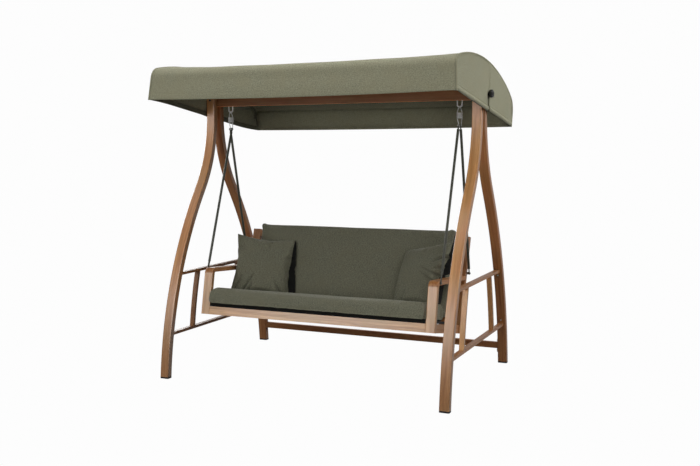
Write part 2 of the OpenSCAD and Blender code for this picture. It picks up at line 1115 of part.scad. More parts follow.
// Knob with five lobes and a neck that passes through the slit
module tilt_knob() {
  translate([961.2, 0, pivot_z])
    rotate([0, 90, 0])
      difference() {
        union() {
          cylinder(r = 9, h = 10);
          translate([0, 0, 6])
            cylinder(r = 12, h = 20);
          for (i = [0 : 4])
            rotate([0, 0, 72 * i])
              translate([knob_d / 2 - 7, 0, 11])
                cylinder(r = 7, h = 13);
          translate([0, 0, 10])
            cylinder(r = 16, h = 12);
        }
        translate([0, 0, -1])
          cylinder(r = 5.06, h = 25);
      }
}

module tilt_knob_right() {
  color([0.04, 0.04, 0.04])
    tilt_knob();
}

module tilt_knob_left() {
  color([0.04, 0.04, 0.04])
    left()
      tilt_knob();
}

leg_front_left();
leg_front_right();
leg_rear_left();
leg_rear_right();
foot_caps();
top_beam();
side_rail_upper_left();
side_rail_upper_right();
side_rail_lower_left();
side_rail_lower_right();
side_slats_left();
side_slats_right();
rear_crossbar();
top_bolts();
crossbar_bolts();
rail_screws();
ubolt_left();
ubolt_right();
ubolt_nuts();
pivot_stud_left();
pivot_stud_right();
hook_upper_left();
hook_upper_right();
spring_left();
spring_right();
hook_lower_left();
hook_lower_right();
rod_front_left();
rod_front_right();
rod_rear_left();
rod_rear_right();
rod_bolts_left();
rod_bolts_right();
arm_post_left();
arm_post_right();
armrest_left();
armrest_right();
back_post_left();
back_post_right();
seat_side_rail_left();
seat_side_rail_right();
seat_front_rail();
seat_rear_rail();
back_top_rail();
seat_slats();
back_slats();
seat_cushion();
back_cushion();
pillow_left();
pillow_right();
canopy_rib_left();
canopy_rib_right();
canopy_front_rail();
canopy_rear_rail();
canopy_cover();
canopy_end_left();
canopy_end_right();
tilt_knob_left();
tilt_knob_right();
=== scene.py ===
import math

import bpy
import numpy as np
from mathutils import Matrix, Vector, noise


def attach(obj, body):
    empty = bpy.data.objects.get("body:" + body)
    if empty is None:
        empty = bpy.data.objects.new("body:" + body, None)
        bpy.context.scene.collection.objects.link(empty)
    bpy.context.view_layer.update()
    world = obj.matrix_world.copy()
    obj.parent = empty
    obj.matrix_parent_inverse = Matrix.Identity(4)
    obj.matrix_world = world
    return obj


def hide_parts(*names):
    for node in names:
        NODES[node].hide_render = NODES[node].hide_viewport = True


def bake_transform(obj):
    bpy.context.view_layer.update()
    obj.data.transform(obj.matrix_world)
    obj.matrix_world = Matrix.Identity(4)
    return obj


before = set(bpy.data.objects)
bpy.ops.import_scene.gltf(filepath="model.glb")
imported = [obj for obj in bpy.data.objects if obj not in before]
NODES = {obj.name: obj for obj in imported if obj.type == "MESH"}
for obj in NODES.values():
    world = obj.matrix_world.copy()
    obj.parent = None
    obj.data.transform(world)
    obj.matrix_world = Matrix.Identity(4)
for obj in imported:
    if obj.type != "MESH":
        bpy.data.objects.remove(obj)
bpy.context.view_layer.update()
SCENE = bpy.context.scene
noise.seed_set(7)  # noise_vector would otherwise differ from run to run
STUDIO_WHITE = (0.982, 0.982, 0.982)
AMBIENT = 0.012
FLOOR_HALF = 60
LAMP_DISTANCE = 5.5
FAR_LAMPS = (  # name, azimuth (0 is in front of the bench, 90 to its right), height, size, power
    ("front", -23, 12, 3.2, 100), ("front_high", -10, 58, 2.6, 17),
    ("front_right", 45, 20, 2.6, 22), ("right_low", 80, 10, 2.6, 10),
    ("right_high", 85, 58, 2.6, 36), ("right_rear", 120, 32, 2.6, 29),
    ("rear", 165, 46, 2.6, 30), ("left", -75, 32, 2.6, 22), ("rear_left", -125, 12, 2.6, 90))
NEAR_LAMPS = (  # name, place, target, size, power
    ("near_right", (2.2, -2.9, 0.9), (0.66, 0, 1), 1.5, 15),
    ("beside", (2.9, -0.6, 1.5), (0.9, 0, 1.1), 1.2, 5),
    ("near_rear", (3.2, 0.8, 2.2), (0.3, 0, 1), 1.5, 23),
    ("above", (0, -0.2, 4.0), (0.3, 0, 1), 1.5, 38))
CAMERA_PLACE, CAMERA_ANGLES = (2.380, -5.123, 1.423), (24.222, 5.386, -0.206)
LENS = 45.68


# ---------------------------------------------------------------- frames
def turn(degrees, axis):
    return Matrix.Rotation(math.radians(degrees), 4, axis)


def shift(x, y, z):
    return Matrix.Translation((x, y, z))


SEAT_TILT, BACK_LEAN, CANOPY_TILT = 11.0, 8.2, 8.0
AXIS_Z = 1.742
BACK_FRONT = 0.513 - 0.030 / math.cos(math.radians(BACK_LEAN))
SEAT = shift(0, -0.411, 0.383) @ turn(-SEAT_TILT, "X")
BACK = SEAT @ shift(0, BACK_FRONT, 0) @ turn(-BACK_LEAN, "X")
CANOPY = shift(0, 0, AXIS_Z) @ turn(-CANOPY_TILT, "X") @ shift(0, -0.006, -0.098)
PILLOW = shift(0.546, -0.018, 0.664) @ turn(-25, "Z") @ turn(-20, "X") @ turn(-4.5, "Y")


# ---------------------------------------------------------------- camera and stage
def look(location, yaw, pitch, roll):
    """A camera matrix: yaw turns the view towards -X, pitch tips it down."""
    y, p, r = (math.radians(a) for a in (yaw, pitch, roll))
    ahead = Vector((-math.sin(y) * math.cos(p), math.cos(y) * math.cos(p), -math.sin(p)))
    right = Vector((math.cos(y), math.sin(y), 0))
    up = right.cross(ahead)
    side = right * math.cos(r) + up * math.sin(r)
    top = up * math.cos(r) - right * math.sin(r)
    m = Matrix((side, top, -ahead)).transposed().to_4x4()
    m.translation = location
    return m


def make_camera():
    data = bpy.data.cameras.new("camera")
    data.sensor_width = 36
    data.lens = LENS
    data.clip_end = 200
    cam = bpy.data.objects.new("camera", data)
    SCENE.collection.objects.link(cam)
    cam.matrix_world = look(CAMERA_PLACE, *CAMERA_ANGLES)
    SCENE.camera = cam


def lamp(name, location, target, size, power):
    """A round soft light that the camera does not see."""
    data = bpy.data.lights.new(name, "AREA")
    data.shape = "DISK"
    data.size = size
    data.energy = power
    obj = bpy.data.objects.new(name, data)
    SCENE.collection.objects.link(obj)
    obj.location = location
    obj.rotation_mode = "QUATERNION"
    obj.rotation_quaternion = (Vector(target) - Vector(location)).to_track_quat("-Z", "Y")
    obj.visible_camera = False


def far_lamp(name, azimuth, height, size, power):
    a, h = math.radians(azimuth), math.radians(height)
    place = Vector((math.sin(a) * math.cos(h), -math.cos(a) * math.cos(h), math.sin(h)))
    lamp(name, Vector((0, 0, 1)) + place * LAMP_DISTANCE, (0, 0, 1), size, power)


def make_world():
    """A white studio: plain white to look at, pale to reflect and faint as a light."""
    world = bpy.data.worlds.new("studio")
    SCENE.world = world
    world.use_nodes = True
    tree = world.node_tree
    tree.nodes.clear()
    out = tree.nodes.new("ShaderNodeOutputWorld")
    path = tree.nodes.new("ShaderNodeLightPath")
    seen, pale, faint = (tree.nodes.new("ShaderNodeBackground") for _ in range(3))
    seen.inputs["Color"].default_value = (*STUDIO_WHITE, 1)
    faint.inputs["Strength"].default_value = AMBIENT
    coord = tree.nodes.new("ShaderNodeTexCoord")
    split = tree.nodes.new("ShaderNodeSeparateXYZ")
    ramp = tree.nodes.new("ShaderNodeMapRange")
    for key, value in (("From Min", -0.4), ("From Max", 0.3), ("To Min", 0.14), ("To Max", 0.47)):
        ramp.inputs[key].default_value = value
    tree.links.new(coord.outputs["Generated"], split.inputs[0])
    tree.links.new(split.outputs["Y"], ramp.inputs["Value"])
    tree.links.new(ramp.outputs[0], pale.inputs["Strength"])
    last = faint
    for ray, other in (("Is Glossy Ray", pale), ("Is Camera Ray", seen)):
        mix = tree.nodes.new("ShaderNodeMixShader")
        tree.links.new(path.outputs[ray], mix.inputs[0])
        tree.links.new(last.outputs[0], mix.inputs[1])
        tree.links.new(other.outputs[0], mix.inputs[2])
        last = mix
    tree.links.new(last.outputs[0], out.inputs[0])


def make_stage():
    mesh = bpy.data.meshes.new("floor")
    s = FLOOR_HALF
    mesh.from_pydata([(-s, -s, 0), (s, -s, 0), (s, s, 0), (-s, s, 0)], [], [(0, 1, 2, 3)])
    floor = bpy.data.objects.new("floor", mesh)
    SCENE.collection.objects.link(floor)
    paint = bpy.data.materials.new("floor_paint")
    paint.use_nodes = True
    shader = paint.node_tree.nodes["Principled BSDF"]
    shader.inputs["Base Color"].default_value = (0, 0, 0, 1)
    shader.inputs["Specular IOR Level"].default_value = 0.0
    shader.inputs["Emission Color"].default_value = (*STUDIO_WHITE, 1)
    shader.inputs["Emission Strength"].default_value = 1.0
    mesh.materials.append(paint)
    floor.visible_diffuse = False
    floor.visible_glossy = False
    SCENE.view_settings.view_transform = "Standard"
    for values in FAR_LAMPS:
        far_lamp(*values)
    for values in NEAR_LAMPS:
        lamp(*values)


# ---------------------------------------------------------------- materials
class Shader:
    """A material and short ways to add nodes to it."""

    def __init__(self, name, roughness, metallic=0.0, specular=0.5):
        self.material = bpy.data.materials.new(name)
        self.material.use_nodes = True
        self.tree = self.material.node_tree
        self.tree.nodes.clear()
        out = self.node("ShaderNodeOutputMaterial")
        self.bsdf = self.node("ShaderNodeBsdfPrincipled")
        self.bsdf.inputs["Roughness"].default_value = roughness
        self.bsdf.inputs["Metallic"].default_value = metallic
        self.bsdf.inputs["Specular IOR Level"].default_value = specular
        self.tree.links.new(self.bsdf.outputs[0], out.inputs[0])

    def node(self, kind, **settings):
        made = self.tree.nodes.new(kind)
        for key, value in settings.items():
            setattr(made, key, value)
        return made

    def put(self, socket, value):
        if isinstance(value, bpy.types.NodeSocket):
            self.tree.links.new(value, socket)
        else:
            socket.default_value = value

    def calc(self, operation, *values):
        n = self.node("ShaderNodeMath", operation=operation)
        for i, v in enumerate(values):
            self.put(n.inputs[i], v)
        return n.outputs[0]

    def add(self, a, b):
        return self.calc("ADD", a, b)

    def sub(self, a, b):
        return self.calc("SUBTRACT", a, b)

    def mul(self, a, b):
        return self.calc("MULTIPLY", a, b)

    def coord(self, kind="Object"):
        return self.node("ShaderNodeTexCoord").outputs[kind]

    def split(self, vector):
        n = self.node("ShaderNodeSeparateXYZ")
        self.put(n.inputs[0], vector)
        return n.outputs

    def join(self, x, y, z):
        n = self.node("ShaderNodeCombineXYZ")
        for i, v in enumerate((x, y, z)):
            self.put(n.inputs[i], v)
        return n.outputs[0]

    def noise(self, vector, scale, detail=2.0, rough=0.5, distort=0.0):
        n = self.node("ShaderNodeTexNoise")
        self.put(n.inputs["Vector"], vector)
        n.inputs["Scale"].default_value = scale
        n.inputs["Detail"].default_value = detail
        n.inputs["Roughness"].default_value = rough
        n.inputs["Distortion"].default_value = distort
        return n.outputs["Fac"]

    def streaks(self, vector, along, across, *settings):
        """Noise of one scale along the first axis and another across it."""
        n = self.node("ShaderNodeVectorMath", operation="MULTIPLY")
        self.put(n.inputs[0], vector)
        n.inputs[1].default_value = (along, across, across)
        return self.noise(n.outputs[0], 1.0, *settings)

    def span(self, value, low, high, to_low=0.0, to_high=1.0, smooth=False):
        n = self.node("ShaderNodeMapRange")
        if smooth:
            n.interpolation_type = "SMOOTHSTEP"
        self.put(n.inputs["Value"], value)
        for key, v in zip(("From Min", "From Max", "To Min", "To Max"),
                          (low, high, to_low, to_high)):
            n.inputs[key].default_value = v
        return n.outputs[0]

    def ramp(self, value, stops):
        n = self.node("ShaderNodeValToRGB")
        self.put(n.inputs[0], value)
        e = n.color_ramp.elements
        while len(e) < len(stops):
            e.new(0.5)
        for item, (place, colour) in zip(e, stops):
            item.position = place
            item.color = (*colour, 1)
        return n.outputs[0]

    def mix(self, share, a, b, blend="MIX"):
        n = self.node("ShaderNodeMix", data_type="RGBA", blend_type=blend)
        self.put(n.inputs[0], share)
        for socket, v in ((n.inputs[6], a), (n.inputs[7], b)):
            self.put(socket, v if isinstance(v, bpy.types.NodeSocket) else (*v, 1))
        return n.outputs[2]

    def scale(self, colour, factor):
        """A colour times one number."""
        return self.mix(1.0, colour, self.join(factor, factor, factor), "MULTIPLY")

    def bump(self, height, distance, strength, under=None):
        n = self.node("ShaderNodeBump")
        n.inputs["Distance"].default_value = distance
        n.inputs["Strength"].default_value = strength
        self.put(n.inputs["Height"], height)
        if under is not None:
            self.put(n.inputs["Normal"], under)
        return n.outputs[0]

    def finish(self, colour, roughness, normal):
        for key, value in (("Base Color", colour), ("Roughness", roughness), ("Normal", normal)):
            self.put(self.bsdf.inputs[key], value)
        return self.material


def srgb(r, g, b):
    """Display colour 0..255 as linear light."""
    return tuple((v / 255 / 12.92) if v < 10.3 else ((v / 255 + 0.055) / 1.055) ** 2.4
                 for v in (r, g, b))


LEG_BEND, UPPER_R, LOWER_R = 1.655, 0.836, 2.339
LOW_CY, LOW_CZ = -1.7131, -0.1843


def leg_line(s, coord):
    """(along, across, x) coordinates that follow the curve of a leg."""
    def side_of(radius, offset):
        return s.calc("SQRT", s.calc("MAXIMUM", s.sub(radius ** 2, s.mul(offset, offset)), 0.04))

    x, y, z = s.split(coord)
    flat = s.calc("ABSOLUTE", y)
    upper = s.sub(0.040 + UPPER_R, side_of(UPPER_R, s.calc("MAXIMUM", s.sub(LEG_BEND, z), 0.0)))
    lower = s.add(LOW_CY, side_of(LOWER_R, s.sub(z, LOW_CZ)))
    share = s.span(z, 1.12, 1.19, smooth=True)
    middle = s.add(lower, s.mul(share, s.sub(upper, lower)))
    rear = s.mul(s.calc("SIGN", y), 3.7)
    return s.add(z, rear), s.sub(flat, middle), x


# red-brown and golden version of each tone of the wood print: dark, mid, pale, khaki, pink
WOOD_TONES = (((146, 88, 48), (148, 100, 56)), ((170, 110, 62), (174, 127, 78)),
              ((188, 130, 80), (196, 152, 98)), ((160, 114, 66), (166, 132, 82)),
              ((178, 114, 74), (188, 138, 94)))


def wood(name, along="X", tilt=0.0, legs=False, tone=1.0, gold=0.3, coat=1.5, painted_sheen=1.0,
         weight=0.9, under=1.0, fade=False):
    """Wood-print coat on steel tube under satin lacquer; the grain runs along one axis.

    gold turns the print from red-brown to golden. painted_sheen is a gain that paints a sheen
    of reflected light onto the faces to the front and rear, under a gain that paints bounce light
    onto the faces below, fade a painted shade that darkens the feet of the legs.
    """
    s = Shader(name, 0.5, specular=0.3)
    coord = s.coord()
    if tilt:
        m = s.node("ShaderNodeMapping", vector_type="TEXTURE")
        m.inputs["Rotation"].default_value = (math.radians(tilt), 0, 0)
        s.put(m.inputs["Vector"], coord)
        coord = m.outputs[0]
    if legs:
        a, b, c = leg_line(s, coord)
    else:
        x, y, z = s.split(coord)
        a, b, c = {"X": (x, y, z), "Y": (y, x, z), "Z": (z, x, y)}[along]
    line = s.join(a, b, c)
    wander = s.streaks(line, 2.2, 5.0, 2.0)
    b2 = s.add(b, s.mul(s.sub(wander, 0.5), 0.05))
    grain = s.join(a, b2, c)
    streak = s.streaks(grain, 2.6, 62.0, 5.0, 0.62, 0.35)
    fibre = s.streaks(grain, 16.0, 420.0, 3.0, 0.6)
    broad = s.streaks(line, 3.1, 9.0, 2.0, 0.5)
    pores = s.streaks(grain, 30.0, 800.0, 1.0, 0.5)
    dark, mid, pale, khaki, pink = (
        tuple(tone * (r + (g - r) * gold) for r, g in zip(srgb(*red), srgb(*golden)))
        for red, golden in WOOD_TONES)
    colour = s.ramp(streak, ((0.30, dark), (0.50, mid), (0.72, pale)))
    colour = s.mix(s.span(broad, 0.40, 0.64, 0.0, 0.5), colour, pink)
    patch = s.streaks(line, 5.0, 14.0, 2.0, 0.5)
    colour = s.mix(s.span(patch, 0.48, 0.70, 0.0, 0.5), colour, khaki)
    colour = s.mix(s.span(fibre, 0.40, 0.80, 0.0, 0.22), colour, tuple(v * 0.72 for v in dark))
    colour = s.mix(s.span(pores, 0.66, 0.74, 0.0, 0.25), colour, tuple(v * 0.5 for v in dark))
    # Painted sheen: the faces to the front and rear are lightened as if they reflected a softbox.
    if painted_sheen != 1.0:
        face = s.calc("ABSOLUTE", s.split(s.coord("Normal"))[1])
        colour = s.scale(colour, s.span(face, 0.25, 0.85, 1.0, painted_sheen))
    # Painted bounce light: the faces that look down are lightened as if lit from the floor.
    if under != 1.0:
        colour = s.scale(colour, s.span(s.split(s.coord("Normal"))[2], -0.9, -0.6, under, 1.0))
    # Painted shade: the legs darken towards their feet as the light falls off towards the floor.
    if fade:
        height = s.span(s.split(s.coord())[2], 0.0, 2.0)
        gain = s.ramp(height, [(place, (v, v, v)) for place, v in (
            (0.05, 0.66), (0.18, 0.76), (0.36, 1.0), (0.60, 1.0))])
        colour = s.mix(1.0, colour, gain, "MULTIPLY")
    rough = s.span(streak, 0.3, 0.7, 0.56, 0.46)
    normal = s.bump(fibre, 0.0004, 0.3, s.bump(streak, 0.0006, 0.25))
    s.bsdf.inputs["Coat Weight"].default_value = weight
    s.bsdf.inputs["Coat Roughness"].default_value = 0.25
    s.bsdf.inputs["Coat IOR"].default_value = coat
    return s.finish(colour, rough, normal)


def hem_painted_light(s, u, v):
    """Painted shade on the lower edge and a painted highlight on the top of the rolled hem of
    an end panel, and painted shade along the sewn edges of the roof.
    """
    roll = s.ramp(s.span(v, 0.0, 0.05), [(place, (tone, tone, tone)) for place, tone in (
        (0.0, 0.60), (0.12, 0.80), (0.24, 1.06), (0.42, 1.22), (0.56, 1.14), (0.63, 0.80),
        (0.72, 1.0))])
    panel = s.calc("GREATER_THAN", s.calc("ABSOLUTE", u), 2.0)
    # Painted shade on the roof cloth within 13 mm of its sewn edges.
    edge = s.span(s.calc("ABSOLUTE", u), HALF - 0.013, HALF - 0.004, 1.0, 0.70)
    return s.mix(panel, s.join(edge, edge, edge), roll)


def cloth(name, base, heather=0.22, pitch=0.0016, slub=1.0, sheen=0.25, hems=False, folds=0.0):
    """Plain-woven heathered cloth. The UV map holds metres along the cloth.

    hems paints light and shade onto the hems of the canopy, folds is the tone of the
    painted shade at the bottom of a pressed-in fold.
    """
    s = Shader(name, 0.9, specular=0.25)
    uv = s.node("ShaderNodeUVMap", uv_map="weave").outputs[0]
    u, v, _ = s.split(uv)

    def field(scale_u, scale_v, place, detail, rough):
        return s.noise(s.join(s.mul(u, scale_u), s.mul(v, scale_v), place), 1.0, detail, rough)

    wave_u = s.calc("SINE", s.mul(u, 2 * math.pi / pitch))
    wave_v = s.calc("SINE", s.mul(v, 2 * math.pi / pitch))
    over = s.mul(wave_u, wave_v)
    warp = field(1.0 / pitch, 26.0, 0.0, 2.0, 0.6)
    weft = field(22.0, 1.0 / pitch, 4.0, 2.0, 0.6)
    threads = s.add(s.mul(warp, 0.5), s.mul(weft, 0.5))
    fleck = field(120.0, 230.0, 8.0, 4.0, 0.7)
    cloud = field(7.0, 9.0, 2.0, 3.0, 0.55)
    mixed = s.add(s.mul(threads, 0.55 * slub), s.mul(fleck, 1.0 - 0.55 * slub))
    low = tuple(c * (1 - 1.6 * heather) for c in base)
    high = tuple(c * (1 + 1.9 * heather) for c in base)
    warm = (base[0] * 1.10, base[1] * 1.03, base[2] * 0.95)
    colour = s.ramp(mixed, ((0.33, low), (0.49, base), (0.66, high)))
    colour = s.mix(s.span(cloud, 0.35, 0.7, 0.0, 0.45), colour, warm)
    gap = s.span(over, -1.0, -0.35, 0.55, 0.0)
    colour = s.mix(gap, colour, tuple(c * 0.45 for c in base))
    # Painted highlight and shade on the hems of the canopy.
    if hems:
        colour = s.mix(1.0, colour, hem_painted_light(s, u, v), "MULTIPLY")
    # Painted shade in the creases of the pillows, read from their fold attribute.
    if folds:
        depth = s.node("ShaderNodeAttribute", attribute_name="fold").outputs["Fac"]
        colour = s.scale(colour, s.span(depth, 0.0, 1.0, 1.0, folds))
    height = s.add(s.mul(over, 0.5), s.mul(threads, 1.2))
    normal = s.bump(height, 0.0006, 0.6, s.bump(fleck, 0.0012, 0.35))
    s.bsdf.inputs["Sheen Weight"].default_value = sheen
    s.bsdf.inputs["Sheen Roughness"].default_value = 0.45
    s.bsdf.inputs["Sheen Tint"].default_value = (0.80, 0.82, 0.72, 1)
    return s.finish(colour, s.span(fleck, 0.3, 0.7, 0.95, 0.82), normal)


def metal(name, colour, roughness, worn=0.25, cell=900.0, metallic=1.0):
    """Bare or plated metal with fine mottling."""
    s = Shader(name, roughness, metallic)
    coord = s.coord()
    spangle = s.noise(coord, cell, 3.0, 0.6)
    patch = s.noise(coord, cell * 0.16, 2.0, 0.5)
    dull = tuple(c * (1 - worn) for c in colour)
    tint = s.ramp(s.add(s.mul(spangle, 0.4), s.mul(patch, 0.6)),
                  ((0.35, dull), (0.62, colour)))
    rough = s.span(patch, 0.3, 0.7, roughness * 1.25, roughness * 0.8)
    return s.finish(tint, rough, s.bump(spangle, 0.0002, 0.25))


def painted(name, colour, roughness, orange_peel=0.35, cell=420.0, spread=0.22):
    """Powder coat or moulded plastic: a fine grained skin with slight tone changes."""
    s = Shader(name, roughness, specular=0.5)
    coord = s.coord()
    grain = s.noise(coord, cell, 3.0, 0.55)
    patch = s.noise(coord, cell * 0.05, 3.0, 0.5)
    low = tuple(c * (1 - spread) for c in colour)
    high = tuple(c * (1 + spread) for c in colour)
    tint = s.ramp(s.add(s.mul(grain, 0.5), s.mul(patch, 0.5)),
                  ((0.35, low), (0.65, high)))
    rough = s.span(patch, 0.3, 0.7, roughness * 1.15, roughness * 0.85)
    return s.finish(tint, rough, s.bump(grain, 0.0004, orange_peel))


def dress(names, material):
    for name in names.split():
        mesh = NODES[name].data
        mesh.materials.clear()
        mesh.materials.append(material)


def both(*names):
    return " ".join(f"{n}_{side}" for n in names for side in ("left", "right"))


CANOPY_OLIVE = srgb(151, 150, 126)
CUSHION_OLIVE = srgb(113, 113, 96)


def dress_frame():
    # All frame parts carry one wood print; the tone, gold and gains set per part are painted light
    # and shade: brighter and more golden at the front and on the right, darker on the left side and
    # to the rear, a painted bounce light under the beam and painted shade at the feet of the front
    # legs.
    dress(both("leg_front"), wood("wood_front_legs", legs=True, tone=0.92, gold=0.55, coat=1.8,
                                  painted_sheen=1.75, fade=True))
    dress(both("leg_rear"), wood("wood_rear_legs", legs=True, tone=0.84, gold=0.15, painted_sheen=1.2))
    dress("top_beam", wood("wood_beam", "X", tone=0.82, gold=0.0, weight=0.12, under=6.0))
    dress("rear_crossbar", wood("wood_crossbar", "X", tone=0.86, gold=0.0, weight=0.12))
    dress("side_rail_upper_right side_rail_lower_right",
          wood("wood_rails_right", "Y", tone=0.84, weight=0.6))
    dress("side_rail_upper_left side_rail_lower_left",
          wood("wood_rails_left", "Y", tone=0.62, weight=0.3))
    dress("side_slats_right",
          wood("wood_slats_right", "Z", tone=0.8, gold=0.9, coat=1.6, painted_sheen=1.9))
    dress("side_slats_left",
          wood("wood_slats_left", "Z", tone=0.70, gold=0.4, weight=0.4, painted_sheen=1.1))
    dress(both("arm_post"), wood("wood_posts", "Z", -SEAT_TILT, tone=0.95, gold=1.0, coat=1.8,
                                  painted_sheen=1.5))
    dress(both("back_post"), wood("wood_back_posts", "Z", -SEAT_TILT - BACK_LEAN))
    dress(both("armrest", "seat_side_rail"),
          wood("wood_arms", "Y", -SEAT_TILT, tone=1.05, weight=0.6))
    dress("seat_front_rail",
          wood("wood_front_rail", "X", -SEAT_TILT, tone=1.48, gold=1.0, coat=1.7))
    dress("seat_rear_rail back_top_rail", wood("wood_rear_rails", "X", -SEAT_TILT))
    dress("seat_slats", painted("seat_slat_paint", srgb(30, 30, 27), 0.6))
    dress("back_slats", wood("wood_back_slats", "Z", -SEAT_TILT - BACK_LEAN))
    dress("foot_caps", painted("foot_rubber", srgb(26, 26, 26), 0.62))
    dress("top_bolts crossbar_bolts", painted("black_oxide", srgb(40, 38, 36), 0.45, 0.4, 900.0))
    dress("rail_screws", painted("screw_caps", srgb(214, 212, 204), 0.35, 0.2))
    dress(both("ubolt") + " ubolt_nuts",
          metal("zinc_plate", srgb(236, 237, 234), 0.34, metallic=0.25))
    dress(both("pivot_stud"), metal("stud_zinc", srgb(176, 177, 175), 0.36))
    dress(both("rod_front", "rod_rear"), painted("rod_paint", srgb(72, 74, 62), 0.36, 0.4))
    dress(both("rod_bolts"), metal("rod_bolt_zinc", srgb(150, 151, 146), 0.40))
    dress(both("canopy_rib") + " canopy_front_rail canopy_rear_rail",
          painted("canopy_frame_paint", srgb(118, 116, 96), 0.7))


# ---------------------------------------------------------------- mesh helpers
def make_mesh(name, verts, faces, material, uv=None, smooth=True, place=None):
    """A mesh object. uv has one (u, v) pair per face corner, in metres."""
    mesh = bpy.data.meshes.new(name)
    mesh.from_pydata([tuple(v) for v in verts], [], [tuple(f) for f in faces])
    if uv is not None:
        layer = mesh.uv_layers.new(name="weave")
        layer.data.foreach_set("uv", np.asarray(uv, np.float32).ravel())
    if place is not None:
        mesh.transform(place)
    mesh.materials.append(material)
    mesh.polygons.foreach_set("use_smooth", [smooth] * len(mesh.polygons))
    mesh.update()
    obj = bpy.data.objects.new(name, mesh)
    SCENE.collection.objects.link(obj)
    return obj


def coords(obj):
    co = np.empty(len(obj.data.vertices) * 3, np.float32)
    obj.data.vertices.foreach_get("co", co)
    return co.reshape(-1, 3).astype(float)


def set_coords(obj, co):
    obj.data.vertices.foreach_set("co", np.asarray(co, np.float32).ravel())
    obj.data.update()


def sweep(path, radius, sides):
    """Verts, faces and face-corner UVs of a tube along a path of points."""
    pts = [Vector(p) for p in path]
    n = len(pts)
    verts, runs, normal = [], [0.0], None
    for i, p in enumerate(pts):
        t = (pts[min(i + 1, n - 1)] - pts[max(i - 1, 0)]).normalized()
        normal = (t.orthogonal() if normal is None else normal - t * normal.dot(t)).normalized()
        other = t.cross(normal)
        for k in range(sides):
            a = 2 * math.pi * k / sides
            verts.append(p + normal * (radius * math.cos(a)) + other * (radius * math.sin(a)))
        if i < n - 1:
            runs.append(runs[-1] + (pts[i + 1] - p).length)
    faces, uv = [], []
    for i in range(n - 1):
        for k in range(sides):
            m = (k + 1) % sides
            faces.append((i * sides + k, i * sides + m, (i + 1) * sides + m, (i + 1) * sides + k))
            a0, a1 = (2 * math.pi * radius * q / sides for q in (k, k + 1))
            uv += [(runs[i], a0), (runs[i], a1), (runs[i + 1], a1), (runs[i + 1], a0)]
    for first, order in ((0, range(sides - 1, -1, -1)), ((n - 1) * sides, range(sides))):
        faces.append([first + k for k in order])
        uv += [(0.0, 0.0)] * sides
    return verts, faces, uv


def merged(name, parts, material, smooth=True):
    """One mesh object from several (verts, faces, uv)."""
    verts, faces, uv = [], [], []
    for v, f, t in parts:
        base = len(verts)
        verts += v
        faces += [[base + i for i in face] for face in f]
        uv += t
    return make_mesh(name, verts, faces, material, uv, smooth)


def thicken(obj, thickness, offset=-1.0):
    m = obj.modifiers.new("thickness", "SOLIDIFY")
    m.thickness, m.offset = thickness, offset


def unit(values):
    return np.clip(values, 0, 1)


def smooth_path(points, step):
    """Catmull-Rom curve through the points, sampled about every step metres."""
    pts = [Vector(p) for p in points]
    pts = [pts[0] * 2 - pts[1]] + pts + [pts[-1] * 2 - pts[-2]]
    out = []
    for i in range(1, len(pts) - 2):
        a, b, c, d = pts[i - 1:i + 3]
        count = max(2, round((c - b).length / step))
        for k in range(count):
            t = k / count
            out.append(0.5 * ((2 * b) + (c - a) * t + (2 * a - 5 * b + 4 * c - d) * t * t
                              + (3 * b - a - 3 * c + d) * t ** 3))
    out.append(pts[-2])
    return out


# ---------------------------------------------------------------- canopy
HALF, REACH, PIVOT_Y, PIVOT_N = 0.965, 0.630, 0.006, 0.098
ROOF_R, ROOF_SHIFT, ROOF_RISE = 1.750, 0.035, 0.284
FRONT_R, REAR_R = 0.070, 0.095
ROOF_C = ROOF_RISE - ROOF_R
HEM = 0.030
HEM_ROWS = (0.0, 0.0015, 0.005, 0.010, 0.016, 0.021, 0.0255, 0.0285, 0.030, 0.0325, 0.037)
HOLE_R, SLIT_HALF, LAP = 0.0135, 0.0015, 0.0032
SLIT_TOP = PIVOT_N + HOLE_R
ROOF_SAG, FRONT_SAG, REAR_SAG = 0.029, 0.011, 0.004
HEM_ROLL, END_ROLL, RIPPLE = 0.0022, 0.0085, 0.0016
REAR_TAPER, REAR_TUCK, REAR_LIFT = 0.0075, (0.020, 0.003), 0.006
FLARE, FRONT_DROP = 0.011, 0.006
COVER_STEPS, TURNING_STEPS = 96, 60


def roof_height(y, inset=0.0):
    """Height at y of the roof's arc, or of an arc that lies inset inside it."""
    return ROOF_C + math.sqrt((ROOF_R - inset) ** 2 - (y + ROOF_SHIFT) ** 2)


FRONT_C = (-REACH + FRONT_R, roof_height(-REACH + FRONT_R, FRONT_R))
REAR_C = (REACH - REAR_R, roof_height(REACH - REAR_R, REAR_R))
FRONT_A = math.atan2(FRONT_C[1] - ROOF_C, FRONT_C[0] + ROOF_SHIFT)
REAR_A = math.atan2(REAR_C[1] - ROOF_C, REAR_C[0] + ROOF_SHIFT)


def arc(centre, radius, a0, a1, step):
    count = max(2, math.ceil(abs(a1 - a0) * radius / step))
    return [(centre[0] + radius * math.cos(a0 + (a1 - a0) * k / count),
             centre[1] + radius * math.sin(a0 + (a1 - a0) * k / count))
            for k in range(count + 1)]


def roof_line():
    """Points of the roof over one end, from the top of the front edge to that of the rear."""
    line = arc(FRONT_C, FRONT_R, math.pi, FRONT_A, 0.009)
    line += arc((-ROOF_SHIFT, ROOF_C), ROOF_R, FRONT_A, REAR_A, 0.020)[1:]
    line += arc(REAR_C, REAR_R, REAR_A, 0.0, 0.010)[1:]
    return line


